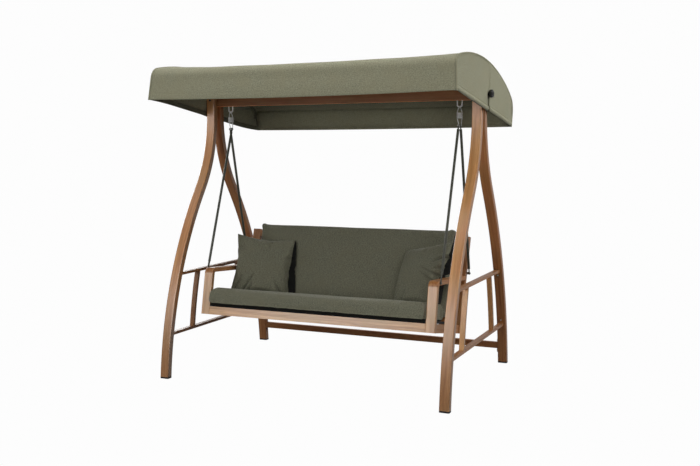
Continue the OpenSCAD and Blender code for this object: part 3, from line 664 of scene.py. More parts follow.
def end_rows(top):
    """Heights of the rows of cloth between the hem and the height top."""
    rest = [0.044, 0.054, 0.064, 0.074, 0.082, 0.0855, 0.089, 0.092, 0.095, 0.098, 0.101,
            0.104, 0.107, 0.1105, SLIT_TOP, 0.118, 0.128, 0.142, 0.158, 0.175, 0.195, 0.215, 0.235,
            0.255, 0.272]
    last = HEM_ROWS[-1]
    scale = (top - last) / (ROOF_RISE - last)
    return list(HEM_ROWS) + [last + (z - last) * scale for z in rest] + [top]


def hem_swell(d, depth):
    """How far a rolled hem stands out at a distance d above its edge."""
    if d < HEM:
        return depth * math.sin(math.pi * min(1.0, d / HEM)) ** 0.6
    return -0.0009 * math.exp(-((d - 0.0285) / 0.0016) ** 2)


def sag(x):
    return max(0.0, 1 - (x / 0.955) ** 2)


def cover_point(x, y, z, out_y, out_z, d_front, d_rear):
    """A point of the roof cloth, from its drawn place and its outward direction."""
    span = sag(x)
    lift = 0.0
    if y > -REACH + 0.001 and y < REACH - 0.001:
        lift = -ROOF_SAG * span * (1 - abs(y / 0.632) ** 5)
    swell = 0.0
    if d_front is not None:
        swell += hem_swell(d_front, HEM_ROLL)
        lift -= FRONT_SAG * span * (1 - min(1.0, d_front / 0.12))
        swell += 0.0035 * math.sin(math.pi * min(1.0, d_front / 0.1)) * span
    if d_rear is not None:
        swell += hem_swell(d_rear, HEM_ROLL)
        lift -= REAR_SAG * span * (1 - min(1.0, d_rear / 0.085))
    p = Vector((x * 2.1, y * 3.0, 0.3))
    ripple = RIPPLE * noise.noise(p * 2.3) * min(1.0, span * 3)
    near = math.exp(-((HALF - abs(x)) / 0.09) ** 1.2)
    pull = RIPPLE * near * math.sin(46 * (abs(x) + 0.9 * y)) * min(1.0, (HALF - abs(x)) / 0.02)
    if d_front is None and d_rear is None:
        pull *= 0.55
    swell += ripple + pull
    return (x, y + out_y * swell, z + out_z * swell + lift)


def canopy_sheet(material):
    """Roof, valances and both end panels as one sheet."""
    roof = roof_line()
    cols = [p[0] for p in roof]
    tops = [p[1] for p in roof]
    split = min(range(len(cols)), key=lambda i: abs(cols[i] - PIVOT_Y))
    cols[split] = PIVOT_Y - SLIT_HALF
    cols.insert(split + 1, PIVOT_Y + SLIT_HALF)
    tops[split] = roof_height(cols[split])
    tops.insert(split + 1, roof_height(cols[split + 1]))
    front_rows, rear_rows = end_rows(tops[0]), end_rows(tops[-1])
    rows = len(front_rows)
    # the cover's outline: up the front edge, over the roof and down the rear edge
    line = [(-REACH, z, -1.0, 0.0, z, None) for z in front_rows]
    for i in range(1, len(cols) - 1):
        a = Vector((cols[i + 1] - cols[i - 1], tops[i + 1] - tops[i - 1])).normalized()
        y, z = cols[i], tops[i]
        d_front = z if y < -REACH + 0.05 and z < 0.2 else None
        d_rear = z if y > REACH - 0.06 and z < 0.16 else None
        line.append((y, z, -a.y, a.x, d_front, d_rear))
    line += [(REACH, z, 1.0, 0.0, None, z) for z in reversed(rear_rows)]
    run = [0.0]
    for p, q in zip(line, line[1:]):
        run.append(run[-1] + math.hypot(q[0] - p[0], q[1] - p[1]))
    steps = COVER_STEPS
    xs = [math.copysign(HALF * abs(t) ** 0.9, t) for t in np.linspace(-1, 1, steps + 1)]
    verts, faces, uv = [], [], []
    for x in xs:
        for y, z, oy, oz, df, dr in line:
            verts.append(cover_point(x, y, z, oy, oz, df, dr) if abs(x) < HALF - 1e-6
                         else (x, y, z))
    n = len(line)
    for i in range(steps):
        for j in range(n - 1):
            faces.append((i * n + j, (i + 1) * n + j, (i + 1) * n + j + 1, i * n + j + 1))
            uv += [(xs[i], run[j]), (xs[i + 1], run[j]), (xs[i + 1], run[j + 1]),
                   (xs[i], run[j + 1])]
    for side, ring in ((-1, 0), (1, steps)):
        grid = []
        for c, y in enumerate(cols):
            column = []
            for r, z in enumerate(end_rows(tops[c])):
                if c == 0:
                    column.append(ring * n + r)
                elif c == len(cols) - 1:
                    column.append(ring * n + n - 1 - r)
                elif r == rows - 1:
                    column.append(ring * n + rows - 1 + c)
                else:
                    column.append(len(verts))
                    verts.append(end_point(side, y, z, c - split))
            grid.append(column)
        for c in range(len(cols) - 1):
            for r in range(rows - 1):
                z = end_rows(tops[split])[r]
                if c == split and z < SLIT_TOP - 1e-4:
                    continue
                a, b, d, e = grid[c][r], grid[c + 1][r], grid[c + 1][r + 1], grid[c][r + 1]
                face = (a, b, d, e) if side > 0 else (a, e, d, b)
                faces.append(face)
                uv += [(verts[k][1] + 3.0 * side, verts[k][2]) for k in face]
    obj = make_mesh("canopy_cloth", verts, faces, material, uv)
    edges = {tuple(sorted(e.vertices)): e for e in obj.data.edges}
    for first in (0, steps * n):
        for j in range(first, first + n - 1):
            edges[(j, j + 1)].use_edge_sharp = True
    return obj, line


def end_point(side, y, z, from_split=9):
    """A point of an end panel; the panel behind the slit laps slightly over the front one."""
    out = hem_swell(z, END_ROLL)
    edge = min(1.0, (REACH - abs(y)) / 0.02)
    out *= edge
    if from_split in (0, 1):
        gap = SLIT_HALF
        dz = z - PIVOT_N
        if abs(dz) < HOLE_R:
            gap = max(gap, math.sqrt(max(0.0, HOLE_R ** 2 - dz ** 2)))
        y = PIVOT_Y + (gap if from_split else -gap)
    step = LAP * min(1.0, max(0.0, (y - PIVOT_Y + 0.004) / 0.008))
    fade = min(1.0, max(0.0, (REACH - y) / 0.35))
    out += step * fade
    if y > PIVOT_Y and z < 0.15:
        out += 0.0035 * math.exp(-(y - PIVOT_Y) / 0.035) * (1 - z / 0.15)
    elif y <= PIVOT_Y and z < 0.15:
        out -= 0.0012 * math.exp((y - PIVOT_Y) / 0.03) * (1 - z / 0.15)
    bow = (1 - (y / REACH) ** 2) * math.sin(math.pi * min(1.0, z / 0.27))
    out += 0.0035 * bow
    out += 0.0010 * noise.noise(Vector((y * 9, z * 12, side * 4.0))) * edge
    drop = -0.0035 * math.exp(-((y - PIVOT_Y) / 0.05) ** 2) * max(0.0, 1 - z / 0.06)
    drop *= 1.0 if y < PIVOT_Y else -0.4
    return (side * (HALF + out), y, z + drop)


def valance_point(x, edge, z):
    """A point of the front (edge -1) or rear (edge 1) valance."""
    return cover_point(x, edge * REACH, z, edge, 0.0,
                       z if edge < 0 else None, None if edge < 0 else z)


STITCH, THREAD_R, STITCH_SHARE = 0.0058, 0.0007, 0.72


def stitches(path, outward):
    """Short raised threads along a path, each a bent tube."""
    parts, left = [], 0.0
    pts, n = [Vector(p) for p in path], Vector(outward)
    for a, b in zip(pts, pts[1:]):
        length = (b - a).length
        d = (b - a) / length
        t = left
        while t + STITCH * STITCH_SHARE < length:
            p0, p1 = (a + d * s + n * 0.0004 for s in (t, t + STITCH * STITCH_SHARE))
            parts.append(sweep([p0, (p0 + p1) / 2 + n * 0.0006, p1], THREAD_R, 4))
            t += STITCH
        left = max(0.0, t - length)
    return parts


def spread(reach, margin, count):
    """Places from side to side of the cover, a margin inside its edges."""
    return [-reach + margin + (2 * reach - 2 * margin) * k / count for k in range(count + 1)]


def draw_in(obj):
    """Narrows the rear, flares the front hem a little and puts the piece in its place."""
    co = coords(obj)
    back = unit((co[:, 1] - 0.40) / (REACH - 0.40)) ** 2
    front = unit((-co[:, 1] - 0.40) / (REACH - 0.40)) ** 2
    low = unit(1 - co[:, 2] / 0.16)
    tuck = np.where(co[:, 0] < 0, REAR_TUCK[0], REAR_TUCK[1])
    co[:, 0] *= 1 + (front * low * FLARE - back * (REAR_TAPER + tuck * low)) / HALF
    co[:, 2] += low * (back * REAR_LIFT - front * FRONT_DROP)
    set_coords(obj, co)
    obj.data.transform(CANOPY)


def band(profile, start, end, count, place):
    """A strip of cloth: a profile of (a, b) pairs carried from start to end."""
    verts, faces, uv = [], [], []
    n = len(profile)
    steps = np.linspace(start, end, count + 1)
    for t in steps:
        verts += [place(t, a, b) for a, b in profile]
    for i in range(count):
        for j in range(n - 1):
            corners = ((i, j), (i + 1, j), (i + 1, j + 1), (i, j + 1))
            faces.append([p * n + q for p, q in corners])
            uv += [(steps[p], profile[q][1]) for p, q in corners]
    return verts, faces, uv


SLEEVE_REAR = ((0.6265, 0.004), (0.6120, 0.040), (0.5970, 0.078), (0.5950, 0.098),
               (0.5965, 0.120), (0.6040, 0.140))
SLEEVE_SIDE = ((0.9600, 0.032), (0.9540, 0.055), (0.9470, 0.076), (0.9466, 0.098),
               (0.9470, 0.120), (0.9600, 0.146))
INSIDE = 0.0045


def canopy_seams(line, thread):
    """Piping along the sewn edges of the roof, and the stitched lines."""
    piping = []
    for side in (-1, 1):
        path = [(side * (HALF + 0.0004), y - oy * 0.0006, z - oz * 0.0006 + 0.0005)
                for y, z, oy, oz, _, _ in line]
        path[0] = (path[0][0], path[0][1], -0.001)
        piping.append(sweep(path, 0.0040, 8))
    threads, row = [], HEM - 0.003
    for edge in (-1, 1):
        threads += stitches([valance_point(x, edge, row) for x in spread(HALF, 0.012, 120)],
                            (0, edge, 0))
    for side in (-1, 1):
        threads += stitches([end_point(side, y, row) for y in spread(REACH, 0.012, 100)
                             if abs(y - PIVOT_Y) >= 0.006], (side, 0, 0))
    for side in (-1, 1):
        threads += stitches([end_point(side, PIVOT_Y + 0.008, z)
                             for z in np.linspace(0.03, 0.24, 25)], (side, 0, 0))
        seam_x = side * (HALF + 0.0012 + hem_swell(0.03, 0))
        threads += stitches([(seam_x, y - oy * 0.012, z - oz * 0.012)
                             for y, z, oy, oz, _, _ in line[12:-12]], (side, 0, 0))
    return merged("canopy_piping", piping, thread), merged("canopy_stitching", threads, thread)


def canopy_turnings(material, binding):
    """Turned-in hems and the bindings of the corners, on the inside."""
    parts = []
    for valance, reach in ((True, HALF), (False, REACH)):
        places = spread(reach, 0.004, TURNING_STEPS)
        for side in (-1, 1):
            for a, b in zip(places, places[1:]):
                if not valance and a < PIVOT_Y + 0.002 and b > PIVOT_Y - 0.002:
                    continue
                quad = []
                for s, z in ((a, 0.0015), (b, 0.0015), (b, HEM), (a, HEM)):
                    p = valance_point(s, side, z)
                    quad.append((p[0], side * (REACH - INSIDE), p[2]) if valance
                                else (side * (HALF - INSIDE), s, z))
                outward = side > 0 if valance else side < 0
                parts.append((quad, [(0, 1, 2, 3) if outward else (0, 3, 2, 1)],
                              [(a, 0.0), (b, 0.0), (b, HEM), (a, HEM)]))
    for side in (-1, 1):
        for edge, top in ((-1, FRONT_C[1]), (1, REAR_C[1])):
            x0, y0 = side * (HALF - 0.003), edge * (REACH - 0.003)
            ring = [Vector((x0, y0, 0.001)), Vector((x0 - side * 0.019, y0 - edge * 0.004, 0.001)),
                    Vector((x0 - side * 0.004, y0 - edge * 0.019, 0.001))]
            up = [p + Vector((0, 0, top)) for p in ring]
            parts.append((ring + up,
                          [(0, 1, 4, 3), (1, 2, 5, 4), (2, 0, 3, 5), (0, 2, 1), (3, 4, 5)],
                          [(0, 0), (0.01, 0), (0.01, 0.1), (0, 0.1)] * 3 + [(0, 0)] * 6))
    # The valance turnings keep the canopy cloth; the end-panel turnings and corner bindings take
    # binding, a darker copy of it that paints shade inside the canopy.
    obj = merged("canopy_hem_turnings", parts, binding, smooth=False)
    obj.data.materials.append(material)
    for face in obj.data.polygons[:2 * TURNING_STEPS]:
        face.material_index = 1
    thicken(obj, 0.0016)
    return obj


def canopy_sleeves(lining):
    """Sleeves that the tubes of the canopy run in."""
    parts = [band(SLEEVE_REAR, -0.945, 0.945, 48, lambda x, y, z: (x, y, z))]
    for side in (-1, 1):
        for y0, y1 in ((-0.585, PIVOT_Y - 0.020), (PIVOT_Y + 0.020, 0.560)):
            parts.append(band(SLEEVE_SIDE, y0, y1, 16, lambda y, x, z: (side * x, y, z)))
    obj = merged("canopy_sleeves", parts, lining)
    thicken(obj, 0.0010, 0.0)
    return obj


def make_canopy(material, thread, binding, lining):
    sheet, line = canopy_sheet(material)
    thicken(sheet, 0.0018)
    pieces = [*canopy_seams(line, thread), canopy_turnings(material, binding),
              canopy_sleeves(lining)]
    for piece in [sheet] + pieces:
        draw_in(piece)
        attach(piece, "canopy")
    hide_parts("canopy_cover", "canopy_end_left", "canopy_end_right")


# ---------------------------------------------------------------- cushions
def ticks(length, edge, step):
    """Places along a side of a soft box: finer over the rounded edges."""
    fine = [edge * k / 3 for k in range(3)]
    inner = length - 2 * edge
    count = max(1, round(inner / step))
    return fine + [edge + inner * k / count for k in range(count + 1)] + [
        length - v for v in reversed(fine)]


def soft_box(size, radius, step):
    """Closed quad mesh of a box with rounded edges, with one corner at the origin."""
    t = [ticks(length, r, step) for length, r in zip(size, radius)]
    index, verts, faces, uv = {}, [], [], []

    def vertex(i, j, k):
        key = (i, j, k)
        if key not in index:
            p = np.array([t[0][i], t[1][j], t[2][k]])
            half = np.array(size) / 2
            r = np.array(radius)
            q = np.clip(p - half, -(half - r), half - r)
            d = (p - half - q) / r
            length = np.linalg.norm(d)
            if length > 1e-9:
                d = d / length * min(1.0, max(abs(d))) if length > 1 else d
            index[key] = len(verts)
            verts.append(q + d * r + half)
        return index[key]

    for axis in range(3):
        b, c = (axis + 1) % 3, (axis + 2) % 3
        for end in (0, len(t[axis]) - 1):
            for i in range(len(t[b]) - 1):
                for j in range(len(t[c]) - 1):
                    quad = []
                    for u, v in ((i, j), (i + 1, j), (i + 1, j + 1), (i, j + 1)):
                        key = [0, 0, 0]
                        key[axis], key[b], key[c] = end, u, v
                        quad.append(((vertex(*key)), (t[b][u], t[c][v])))
                    if end == 0:
                        quad.reverse()
                    faces.append([q[0] for q in quad])
                    shift_u = 3.0 * axis + (1.5 if end else 0.0)
                    for _, (u, v) in quad:
                        pair = (v, u) if axis == 1 else (u, v)
                        uv.append((pair[0] + shift_u, pair[1]))
    return verts, faces, uv


def puff(obj, pressure, frames, cap, pins=None, grow=0.02, stiff=12.0, bend=0.6):
    """Inflates a closed mesh with Blender's cloth, keeps the result, and limits the movement."""
    rest = coords(obj)
    m = obj.modifiers.new("cloth", "CLOTH")
    c = m.settings
    c.quality = 6
    c.mass = 0.25
    c.tension_stiffness = c.compression_stiffness = stiff
    c.shear_stiffness = stiff * 0.5
    c.bending_stiffness = bend
    c.tension_damping = c.compression_damping = 8
    c.use_pressure = True
    c.uniform_pressure_force = pressure
    c.shrink_min = -grow
    c.effector_weights.gravity = 0
    if pins is not None:
        group = obj.vertex_groups.new(name="pins")
        for i, w in enumerate(pins):
            if w > 0:
                group.add([i], float(w), "REPLACE")
        c.vertex_group_mass = "pins"
        c.pin_stiffness = 1.0
    m.collision_settings.use_collision = False
    m.collision_settings.use_self_collision = False
    m.point_cache.frame_start, m.point_cache.frame_end = 1, frames
    for f in range(1, frames + 1):
        SCENE.frame_set(f)
    shape = obj.evaluated_get(bpy.context.evaluated_depsgraph_get()).to_mesh()
    new = np.empty(len(shape.vertices) * 3, np.float32)
    shape.vertices.foreach_get("co", new)
    new = new.reshape(-1, 3).astype(float)
    obj.modifiers.remove(m)
    SCENE.frame_set(1)
    move = new - rest
    far = np.linalg.norm(move, axis=1, keepdims=True)
    set_coords(obj, rest + move * np.minimum(1.0, cap / np.maximum(far, 1e-9)))


def subdivide(obj):
    m = obj.modifiers.new("subdivision", "SUBSURF")
    m.levels = m.render_levels = 1


def puffed_box(name, size, radius, step, materials, above, base_depth):
    """An inflated soft box. above gives the distance of points from the face on the frame."""
    verts, faces, uv = soft_box(size, radius, step)
    obj = make_mesh(name, verts, faces, materials[0], uv)
    obj.data.materials.append(materials[1])
    away = above(coords(obj))
    # Faces next to the frame take the near-black second material: a black base cloth that also
    # paints the shade under and behind the cushion.
    for face in obj.data.polygons:
        face.material_index = int(max(away[i] for i in face.vertices) < base_depth)
    puff(obj, 3.0, 18, 0.013, unit(1 - away / 0.012))
    return obj, coords(obj)


def make_seat_cushion(material, base):
    size = (1.438 - 0.012, 0.436 - 0.012, 0.094)
    obj, co = puffed_box("seat_cushion_cover", size, (0.028, 0.030, 0.030), 0.0125,
                         (material, base), lambda p: p[:, 2], 0.012)
    co = np.column_stack([co[:, 0] - size[0] / 2, co[:, 1] + 0.006, np.maximum(co[:, 2], 0.0)])
    edge = unit((0.036 - co[:, 1]) / 0.030)
    co[:, 2] -= 0.006 * edge * unit(1 - co[:, 2] / 0.060)
    clear = unit((0.034 - co[:, 1]) / 0.025)
    co[:, 0] += np.sign(co[:, 0]) * 0.027 * clear * unit(abs(co[:, 0]) / 0.7) ** 8
    co = soften(co, 0.0016, 5.5, 1.0)
    set_coords(obj, co)
    obj.data.transform(SEAT @ shift(0, -0.038, 0.0664))
    subdivide(obj)
    return obj


def soften(co, amount, cells, seed):
    """Slight unevenness of a used cushion."""
    out = co.copy()
    for i, p in enumerate(co):
        q = Vector(p) * cells
        q.z += seed * 7.3
        d = noise.noise_vector(q)
        out[i] += np.array(d) * amount
    return out


def make_back_cushion(material, base):
    size = (1.438 - 0.046, 0.088 - 0.010, 0.578 - 0.010)
    obj, co = puffed_box("back_cushion_cover", size, (0.026, 0.026, 0.028), 0.0135,
                         (material, base), lambda p: size[1] - p[:, 1], 0.030)
    co = np.column_stack([co[:, 0] - size[0] / 2 + 0.007,
                          np.minimum(co[:, 1], size[1]) - size[1] - 0.001, co[:, 2] + 0.005])
    ear = unit(abs(co[:, 0]) / 0.69 * 12 - 11) * unit(co[:, 2] / 0.56 * 9 - 8)
    co[:, 2] += 0.004 * ear
    co[:, 0] += np.sign(co[:, 0]) * 0.004 * ear
    co = soften(co, 0.0018, 5.0, 2.0)
    set_coords(obj, co)
    obj.data.transform(BACK @ shift(0, 0, 0.075))
    subdivide(obj)
    return obj


PILLOW_SIZE, PILLOW_CELLS, PILLOW_HALF = 0.410, 64, 0.195
SEAT_TOP, BACK_FACE, ARM_INNER, ARM_TOP = 0.167, -0.0905, 0.7225, 0.676


def pillow_mesh(name, material, seed):
    """A flat pillowcase: two square layers that share their edge. Y is its thickness."""
    size, count = PILLOW_SIZE, PILLOW_CELLS
    verts, faces, uv = [], [], []
    index = {}
    for layer in (-1, 1):
        for i in range(count + 1):
            for j in range(count + 1):
                edge = i in (0, count) or j in (0, count)
                key = (i, j, 0 if edge else layer)
                if key in index:
                    continue
                index[key] = len(verts)
                a, b = 2 * i / count - 1, 2 * j / count - 1
                dome = (1 - a ** 6) * (1 - b ** 6)
                wobble = 0.0006 * noise.noise(Vector((a * 5, b * 5, layer + seed)))
                verts.append((a * size / 2, 0 if edge else layer * (0.004 + 0.012 * dome) + wobble,
                              b * size / 2))
        for i in range(count):
            for j in range(count):
                quad = []
                for a, b in ((i, j), (i + 1, j), (i + 1, j + 1), (i, j + 1)):
                    edge = a in (0, count) or b in (0, count)
                    quad.append((index[(a, b, 0 if edge else layer)],
                                 (a / count * size + layer + 5, b / count * size)))
                if layer > 0:
                    quad.reverse()
                faces.append([q[0] for q in quad])
                uv += [q[1] for q in quad]
    return make_mesh(name, verts, faces, material, uv)


def make_pillow(name, side, material, base, seed):
    obj = pillow_mesh(name, material, seed)
    obj.data.materials.append(base)
    # The rear layer takes the near-black cloth: partly a black back, partly painted shade beside
    # the pillow.
    for face in obj.data.polygons[PILLOW_CELLS ** 2:]:
        face.material_index = 1
    puff(obj, 2.4, 20, 0.085, None, 0.0, 16.0, 0.3)
    co = coords(obj)
    co -= (co.max(0) + co.min(0)) / 2
    co, fold = crease(slump(co, **SLUMPS[side]), CREASES[side])
    # The cushion cloth paints shade into the creases from this fold attribute.
    obj.data.attributes.new("fold", "FLOAT", "POINT").data.foreach_set("value", fold)
    place = PILLOW if side > 0 else Matrix.Scale(-1, 4, (1, 0, 0)) @ PILLOW
    if side < 0:
        co[:, 0] *= -1
    m = np.array(place)
    co = co @ m[:3, :3].T + m[:3, 3]
    co[:, 0] += 0.024 * (side > 0)
    co = rest_on(co, SEAT, 2, SEAT_TOP, 1, 0.012)
    co = rest_on(co, BACK, 1, BACK_FACE, -1, 0.016)
    low = unit((ARM_TOP - co[:, 2]) / 0.012)[:, None]
    beside = rest_on(co, Matrix.Identity(4), 0, side * ARM_INNER, -side, 0.012)
    co = co * (1 - low) + beside * low
    set_coords(obj, co)
    subdivide(obj)
    return obj


# strokes from (a, b) to (c, d) on the front of the left (-1) and right (1) pillow, width, depth
CREASES = {
    -1: ((-0.56, -0.99, -0.25, -0.42, 0.024, 0.010), (-0.36, -1.0, -0.28, -0.62, 0.020, 0.007),
         (-0.80, -0.9, -0.62, -0.5, 0.030, 0.005), (0.98, 0.34, 0.66, 0.20, 0.040, 0.006),
         (0.98, -0.30, 0.74, -0.24, 0.034, 0.005), (-0.98, 0.62, -0.55, 0.42, 0.045, 0.004),
         (0.30, 0.98, 0.16, 0.55, 0.050, 0.004), (0.62, -0.98, 0.40, -0.60, 0.035, 0.006)),
    1: ((0.60, -0.05, 0.10, 0.16, 0.034, 0.004), (0.72, -0.34, 0.16, -0.02, 0.030, 0.006),
        (0.98, 0.62, 0.48, 0.34, 0.034, 0.010), (0.98, 0.36, 0.56, 0.10, 0.030, 0.010),
        (0.98, 0.08, 0.62, -0.06, 0.028, 0.008), (-0.98, -0.20, -0.60, -0.30, 0.045, 0.005),
        (-0.45, -0.98, -0.30, -0.62, 0.035, 0.006), (0.25, 0.98, 0.10, 0.62, 0.050, 0.006)),
}


def crease(co, strokes):
    """Folds pressed into the front of a pillow: each runs from (a, b) to (c, d)."""
    out = co.copy()
    fold = np.zeros(len(co))
    half = (co.max(0) - co.min(0)) / 2
    a, b = co[:, 0] / half[0], co[:, 2] / half[2]
    front = unit(1 - co[:, 1] / 0.004)
    for a0, b0, a1, b1, width, depth in strokes:
        length = math.hypot(a1 - a0, b1 - b0)
        ua, ub = (a1 - a0) / length, (b1 - b0) / length
        along = np.clip((a - a0) * ua + (b - b0) * ub, 0, length)
        across = (a - a0) * ub - (b - b0) * ua
        away = np.hypot(a - a0 - along * ua, b - b0 - along * ub)
        fade = 1 - 0.75 * along / length
        out[:, 1] += 2.6 * depth * front * fade * np.exp(-(away / width) ** 2)
        # fold records how deep each crease lies, for the painted shade in the creases.
        fold = np.maximum(fold, front * depth / 0.010 * fade * np.exp(-(away / (0.8 * width)) ** 2))
        ridge = np.exp(-((away - 1.9 * width) / (1.2 * width)) ** 2)
        out[:, 1] -= 1.1 * depth * front * fade * ridge * (across > 0)
    return out, unit(fold)


def rest_on(co, place, axis, level, sign, soft):
    """Presses the points that pass a plane of a tilted frame back to it, softly."""
    inv = np.array(place.inverted())
    m = np.array(place)
    q = co @ inv[:3, :3].T + inv[:3, 3]
    d = sign * (q[:, axis] - level)
    near = d < soft
    pressed = soft * np.exp(np.minimum(0.0, (d - soft) / soft))
    q[near, axis] = level + sign * pressed[near]
    return q @ m[:3, :3].T + m[:3, 3]


def lean_out(co, by, by_foot, fold, start):
    """Moves the rear half of a pillow to the right and folds its lower right corner in."""
    a, b = co[:, 0] / PILLOW_HALF, co[:, 2] / PILLOW_HALF
    rear = unit(co[:, 1] / 0.012)
    low = unit((start - b) / 0.8)
    low = low * low * (3 - 2 * low)
    reach = by * (1 - 0.6 * unit(b)) + (by_foot - by) * unit(-b)
    co[:, 0] += reach * rear * unit(a * 1.6 - 0.3)
    co[:, 0] -= fold * low * unit(a) ** 2 * (1 - rear)
    return co


SLUMPS = {-1: dict(lean=(0.046, 0.030, 0.026, 0.1), thin=0.16, taper=0.03, dip=0.010,
                   leaning=1, drop=0.018, push=0.0),
          1: dict(lean=(0.034, 0.080, 0.044, 0.55), thin=0.18, taper=0.0, dip=0.0,
                  leaning=-1, drop=0.060, push=0.022)}


def slump(co, lean, thin, taper, dip, leaning, drop, push):
    """The shape of a pillow that leans: thick foot, hollow edges, one sunken top corner."""
    out = lean_out(co.copy(), *lean)
    a, b = co[:, 0] / PILLOW_HALF, co[:, 2] / PILLOW_HALF
    corner = unit((leaning * a + b) / 2) ** 2
    out[:, 1] *= 1.0 - thin * b
    out[:, 0] *= 1.0 - taper * b
    out[:, 2] -= dip * (1 - a ** 2) * unit(b)
    out[:, 2] -= drop * corner
    out[:, 2] -= 0.024 * (1 - a ** 2) * unit(-b) ** 2
    out[:, 0] += push * corner
    return out


SEAT_GAP_STRIP = ((0.0004, 0.0520), (-0.0006, 0.0600), (-0.001, 0.0740))


def make_cushions(material, seat_material, base):
    seat = make_seat_cushion(seat_material, base)
    back = make_back_cushion(material, base)
    left = make_pillow("pillow_case_left", -1, material, base, 1.0)
    right = make_pillow("pillow_case_right", 1, material, base, 2.0)
    # A near-black strip across the gap under the front edge of the seat cushion: painted shade in
    # that gap, partly standing for the black seat support.
    v, f, _ = band(SEAT_GAP_STRIP, -0.722, 0.722, 90, lambda x, y, z: (x, y - 0.0006 * math.sin(38 * x), z))
    dark_gap_strip = make_mesh("seat_gap_dark_strip", v, f, base, place=SEAT)
    thicken(dark_gap_strip, 0.0010, 0.0)
    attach(dark_gap_strip, "seat")
    for piece, node, fill in ((seat, "seat_cushion", 0.75), (back, "back_cushion", 0.7),
                              (left, "pillow_left", 0.7), (right, "pillow_right", 0.6)):
        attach(piece, "seat")
        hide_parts(node)


# ---------------------------------------------------------------- springs
HANG_X, SWING_Z, APEX_Z = 0.793, 1.672, 1.560
WIRE, COIL_R, COILS, COIL_PITCH = 0.0025, 0.0155, 6, 0.0052
BODY_LEN = COILS * COIL_PITCH - 0.0002
BODY_Z = (SWING_Z + APEX_Z) / 2 + 0.005


def hairpin(x, eye_z, coil_z, turn_sign):
    """Wire from one side of the coil up to the eye, round it and back to the other side."""
    up = 1 if eye_z > coil_z else -1
    pts = [(x - COIL_R, 0, coil_z), (x - COIL_R * 0.93, 0.0, coil_z + up * 0.003)]
    for k in range(11):
        a = math.radians(-62 - 29.6 * k)
        pts.append((x + (k - 5) * 0.00062 * 2, -0.0075 * math.cos(a) * turn_sign,
                    eye_z + up * 0.0075 * math.sin(a)))
    pts += [(x + COIL_R * 0.93, 0.0, coil_z + up * 0.003), (x + COIL_R, 0, coil_z)]
    return smooth_path(pts, 0.0012)


def make_springs(zinc):
    top, low = BODY_Z + BODY_LEN / 2, BODY_Z - BODY_LEN / 2
    for side, name in ((-1, "left"), (1, "right")):
        x = side * HANG_X
        for part, eye, end, sign, body in (("upper", SWING_Z, top, 1, "hanger_"),
                                           ("lower", APEX_Z, low, -1, "link_")):
            wire = make_mesh(f"spring_hook_{part}_{name}",
                             *sweep(hairpin(x, eye, end, sign), WIRE - 0.0002, 10)[:2], zinc)
            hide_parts(f"hook_{part}_{name}")
            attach(wire, body + name)
        helix = []
        for k in range(COILS * 28 + 1):
            a = 2 * math.pi * k / 28
            helix.append((x - COIL_R * math.cos(a), COIL_R * math.sin(a),
                          low + (top - low) * k / (COILS * 28)))
        coil = make_mesh("spring_coil_" + name, *sweep(helix, WIRE, 10)[:2], zinc)
        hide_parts("spring_" + name)
        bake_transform(coil)


# ---------------------------------------------------------------- knobs
# distance out, radius and share of the lobes of each ring
KNOB_RINGS = ((0.9614, 0.0100, 0.0), (0.9660, 0.0112, 0.0), (0.9740, 0.0118, 0.0),
              (0.9756, 0.0180, 0.5), (0.9772, 0.0212, 1.0), (0.9810, 0.0228, 1.0),
              (0.9890, 0.0230, 1.0), (0.9938, 0.0218, 1.0), (0.9962, 0.0192, 0.6),
              (0.9966, 0.0152, 0.0), (0.9954, 0.0146, 0.0), (0.9950, 0.0040, 0.0))


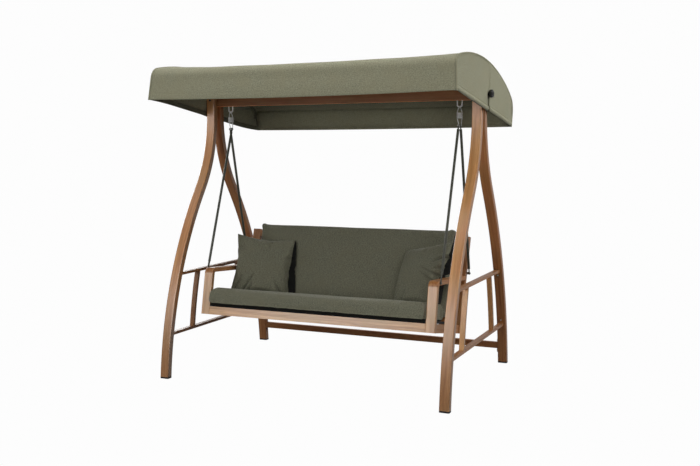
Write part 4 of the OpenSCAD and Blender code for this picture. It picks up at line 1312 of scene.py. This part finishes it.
def make_knobs(plastic):
    """Five-lobed knobs with a recessed cap, on the axis of the canopy."""
    sides = 60
    for side, name in ((-1, "left"), (1, "right")):
        verts, faces = [], []
        for x, radius, share in KNOB_RINGS:
            for k in range(sides):
                a = 2 * math.pi * k / sides
                r = radius * (1 + 0.09 * share * math.cos(5 * a))
                verts.append((side * x, r * math.sin(a), AXIS_Z + r * math.cos(a)))
        last = len(verts) - sides
        for i in range(0, last, sides):
            for k in range(sides):
                m = (k + 1) % sides
                faces.append((i + k, i + m, i + sides + m, i + sides + k)[::-side])
        faces.append(list(range(last, last + sides))[::side])
        faces.append(list(range(sides))[::-side])
        knob = make_mesh("knob_head_" + name, verts, faces, plastic)
        for edge in knob.data.edges:
            rings = {v // sides for v in edge.vertices}
            edge.use_edge_sharp = len(rings) == 1 and rings <= {3, 8, 9, 10}
        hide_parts("tilt_knob_" + name)
        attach(knob, "knob_" + name)


# ---------------------------------------------------------------- build
make_camera()
make_world()
make_stage()
dress_frame()
make_canopy(cloth("canopy_weave", CANOPY_OLIVE, 0.34, 0.0018, 0.7, 0.2, hems=True),
            # The thread and piping are the canopy cloth 8% lighter: partly a lighter thread, partly
            # a painted highlight along the piping of the seams.
            cloth("thread", tuple(c * 1.08 for c in CANOPY_OLIVE), 0.15, 0.0009, sheen=0.1),
            # The end-panel turnings and corner bindings use the canopy cloth at half brightness:
            # painted shade inside the canopy.
            cloth("canopy_shaded_weave", tuple(c * 0.50 for c in CANOPY_OLIVE), 0.2, 0.0018),
            cloth("canopy_lining_weave", CANOPY_OLIVE, 0.3, 0.0018))
make_cushions(cloth("cushion_weave", CUSHION_OLIVE, 0.50, 0.0014, 0.7, 0.3, folds=0.30),
              # The seat cushion has the cloth of the back cushion and pillows, 1.2 times brighter:
              # painted light on the seat.
              cloth("seat_weave_lit", tuple(c * 1.2 for c in CUSHION_OLIVE), 0.50, 0.0014, 0.7, 0.3),
              # Near-black cloth under and behind the cushions and on the backs of the pillows:
              # partly a black base cloth, partly painted shade on their shaded sides.
              cloth("base_and_shade_weave", srgb(20, 21, 18), 0.2, 0.0014, sheen=0.0))
make_knobs(painted("knob_plastic", srgb(22, 22, 24), 0.30, 0.25, 800.0))
# The springs and hooks are near-white and barely metallic: the pale zinc with a painted highlight
# in its colour.
make_springs(metal("spring_zinc_and_highlight", srgb(240, 240, 237), 0.30, metallic=0.2))
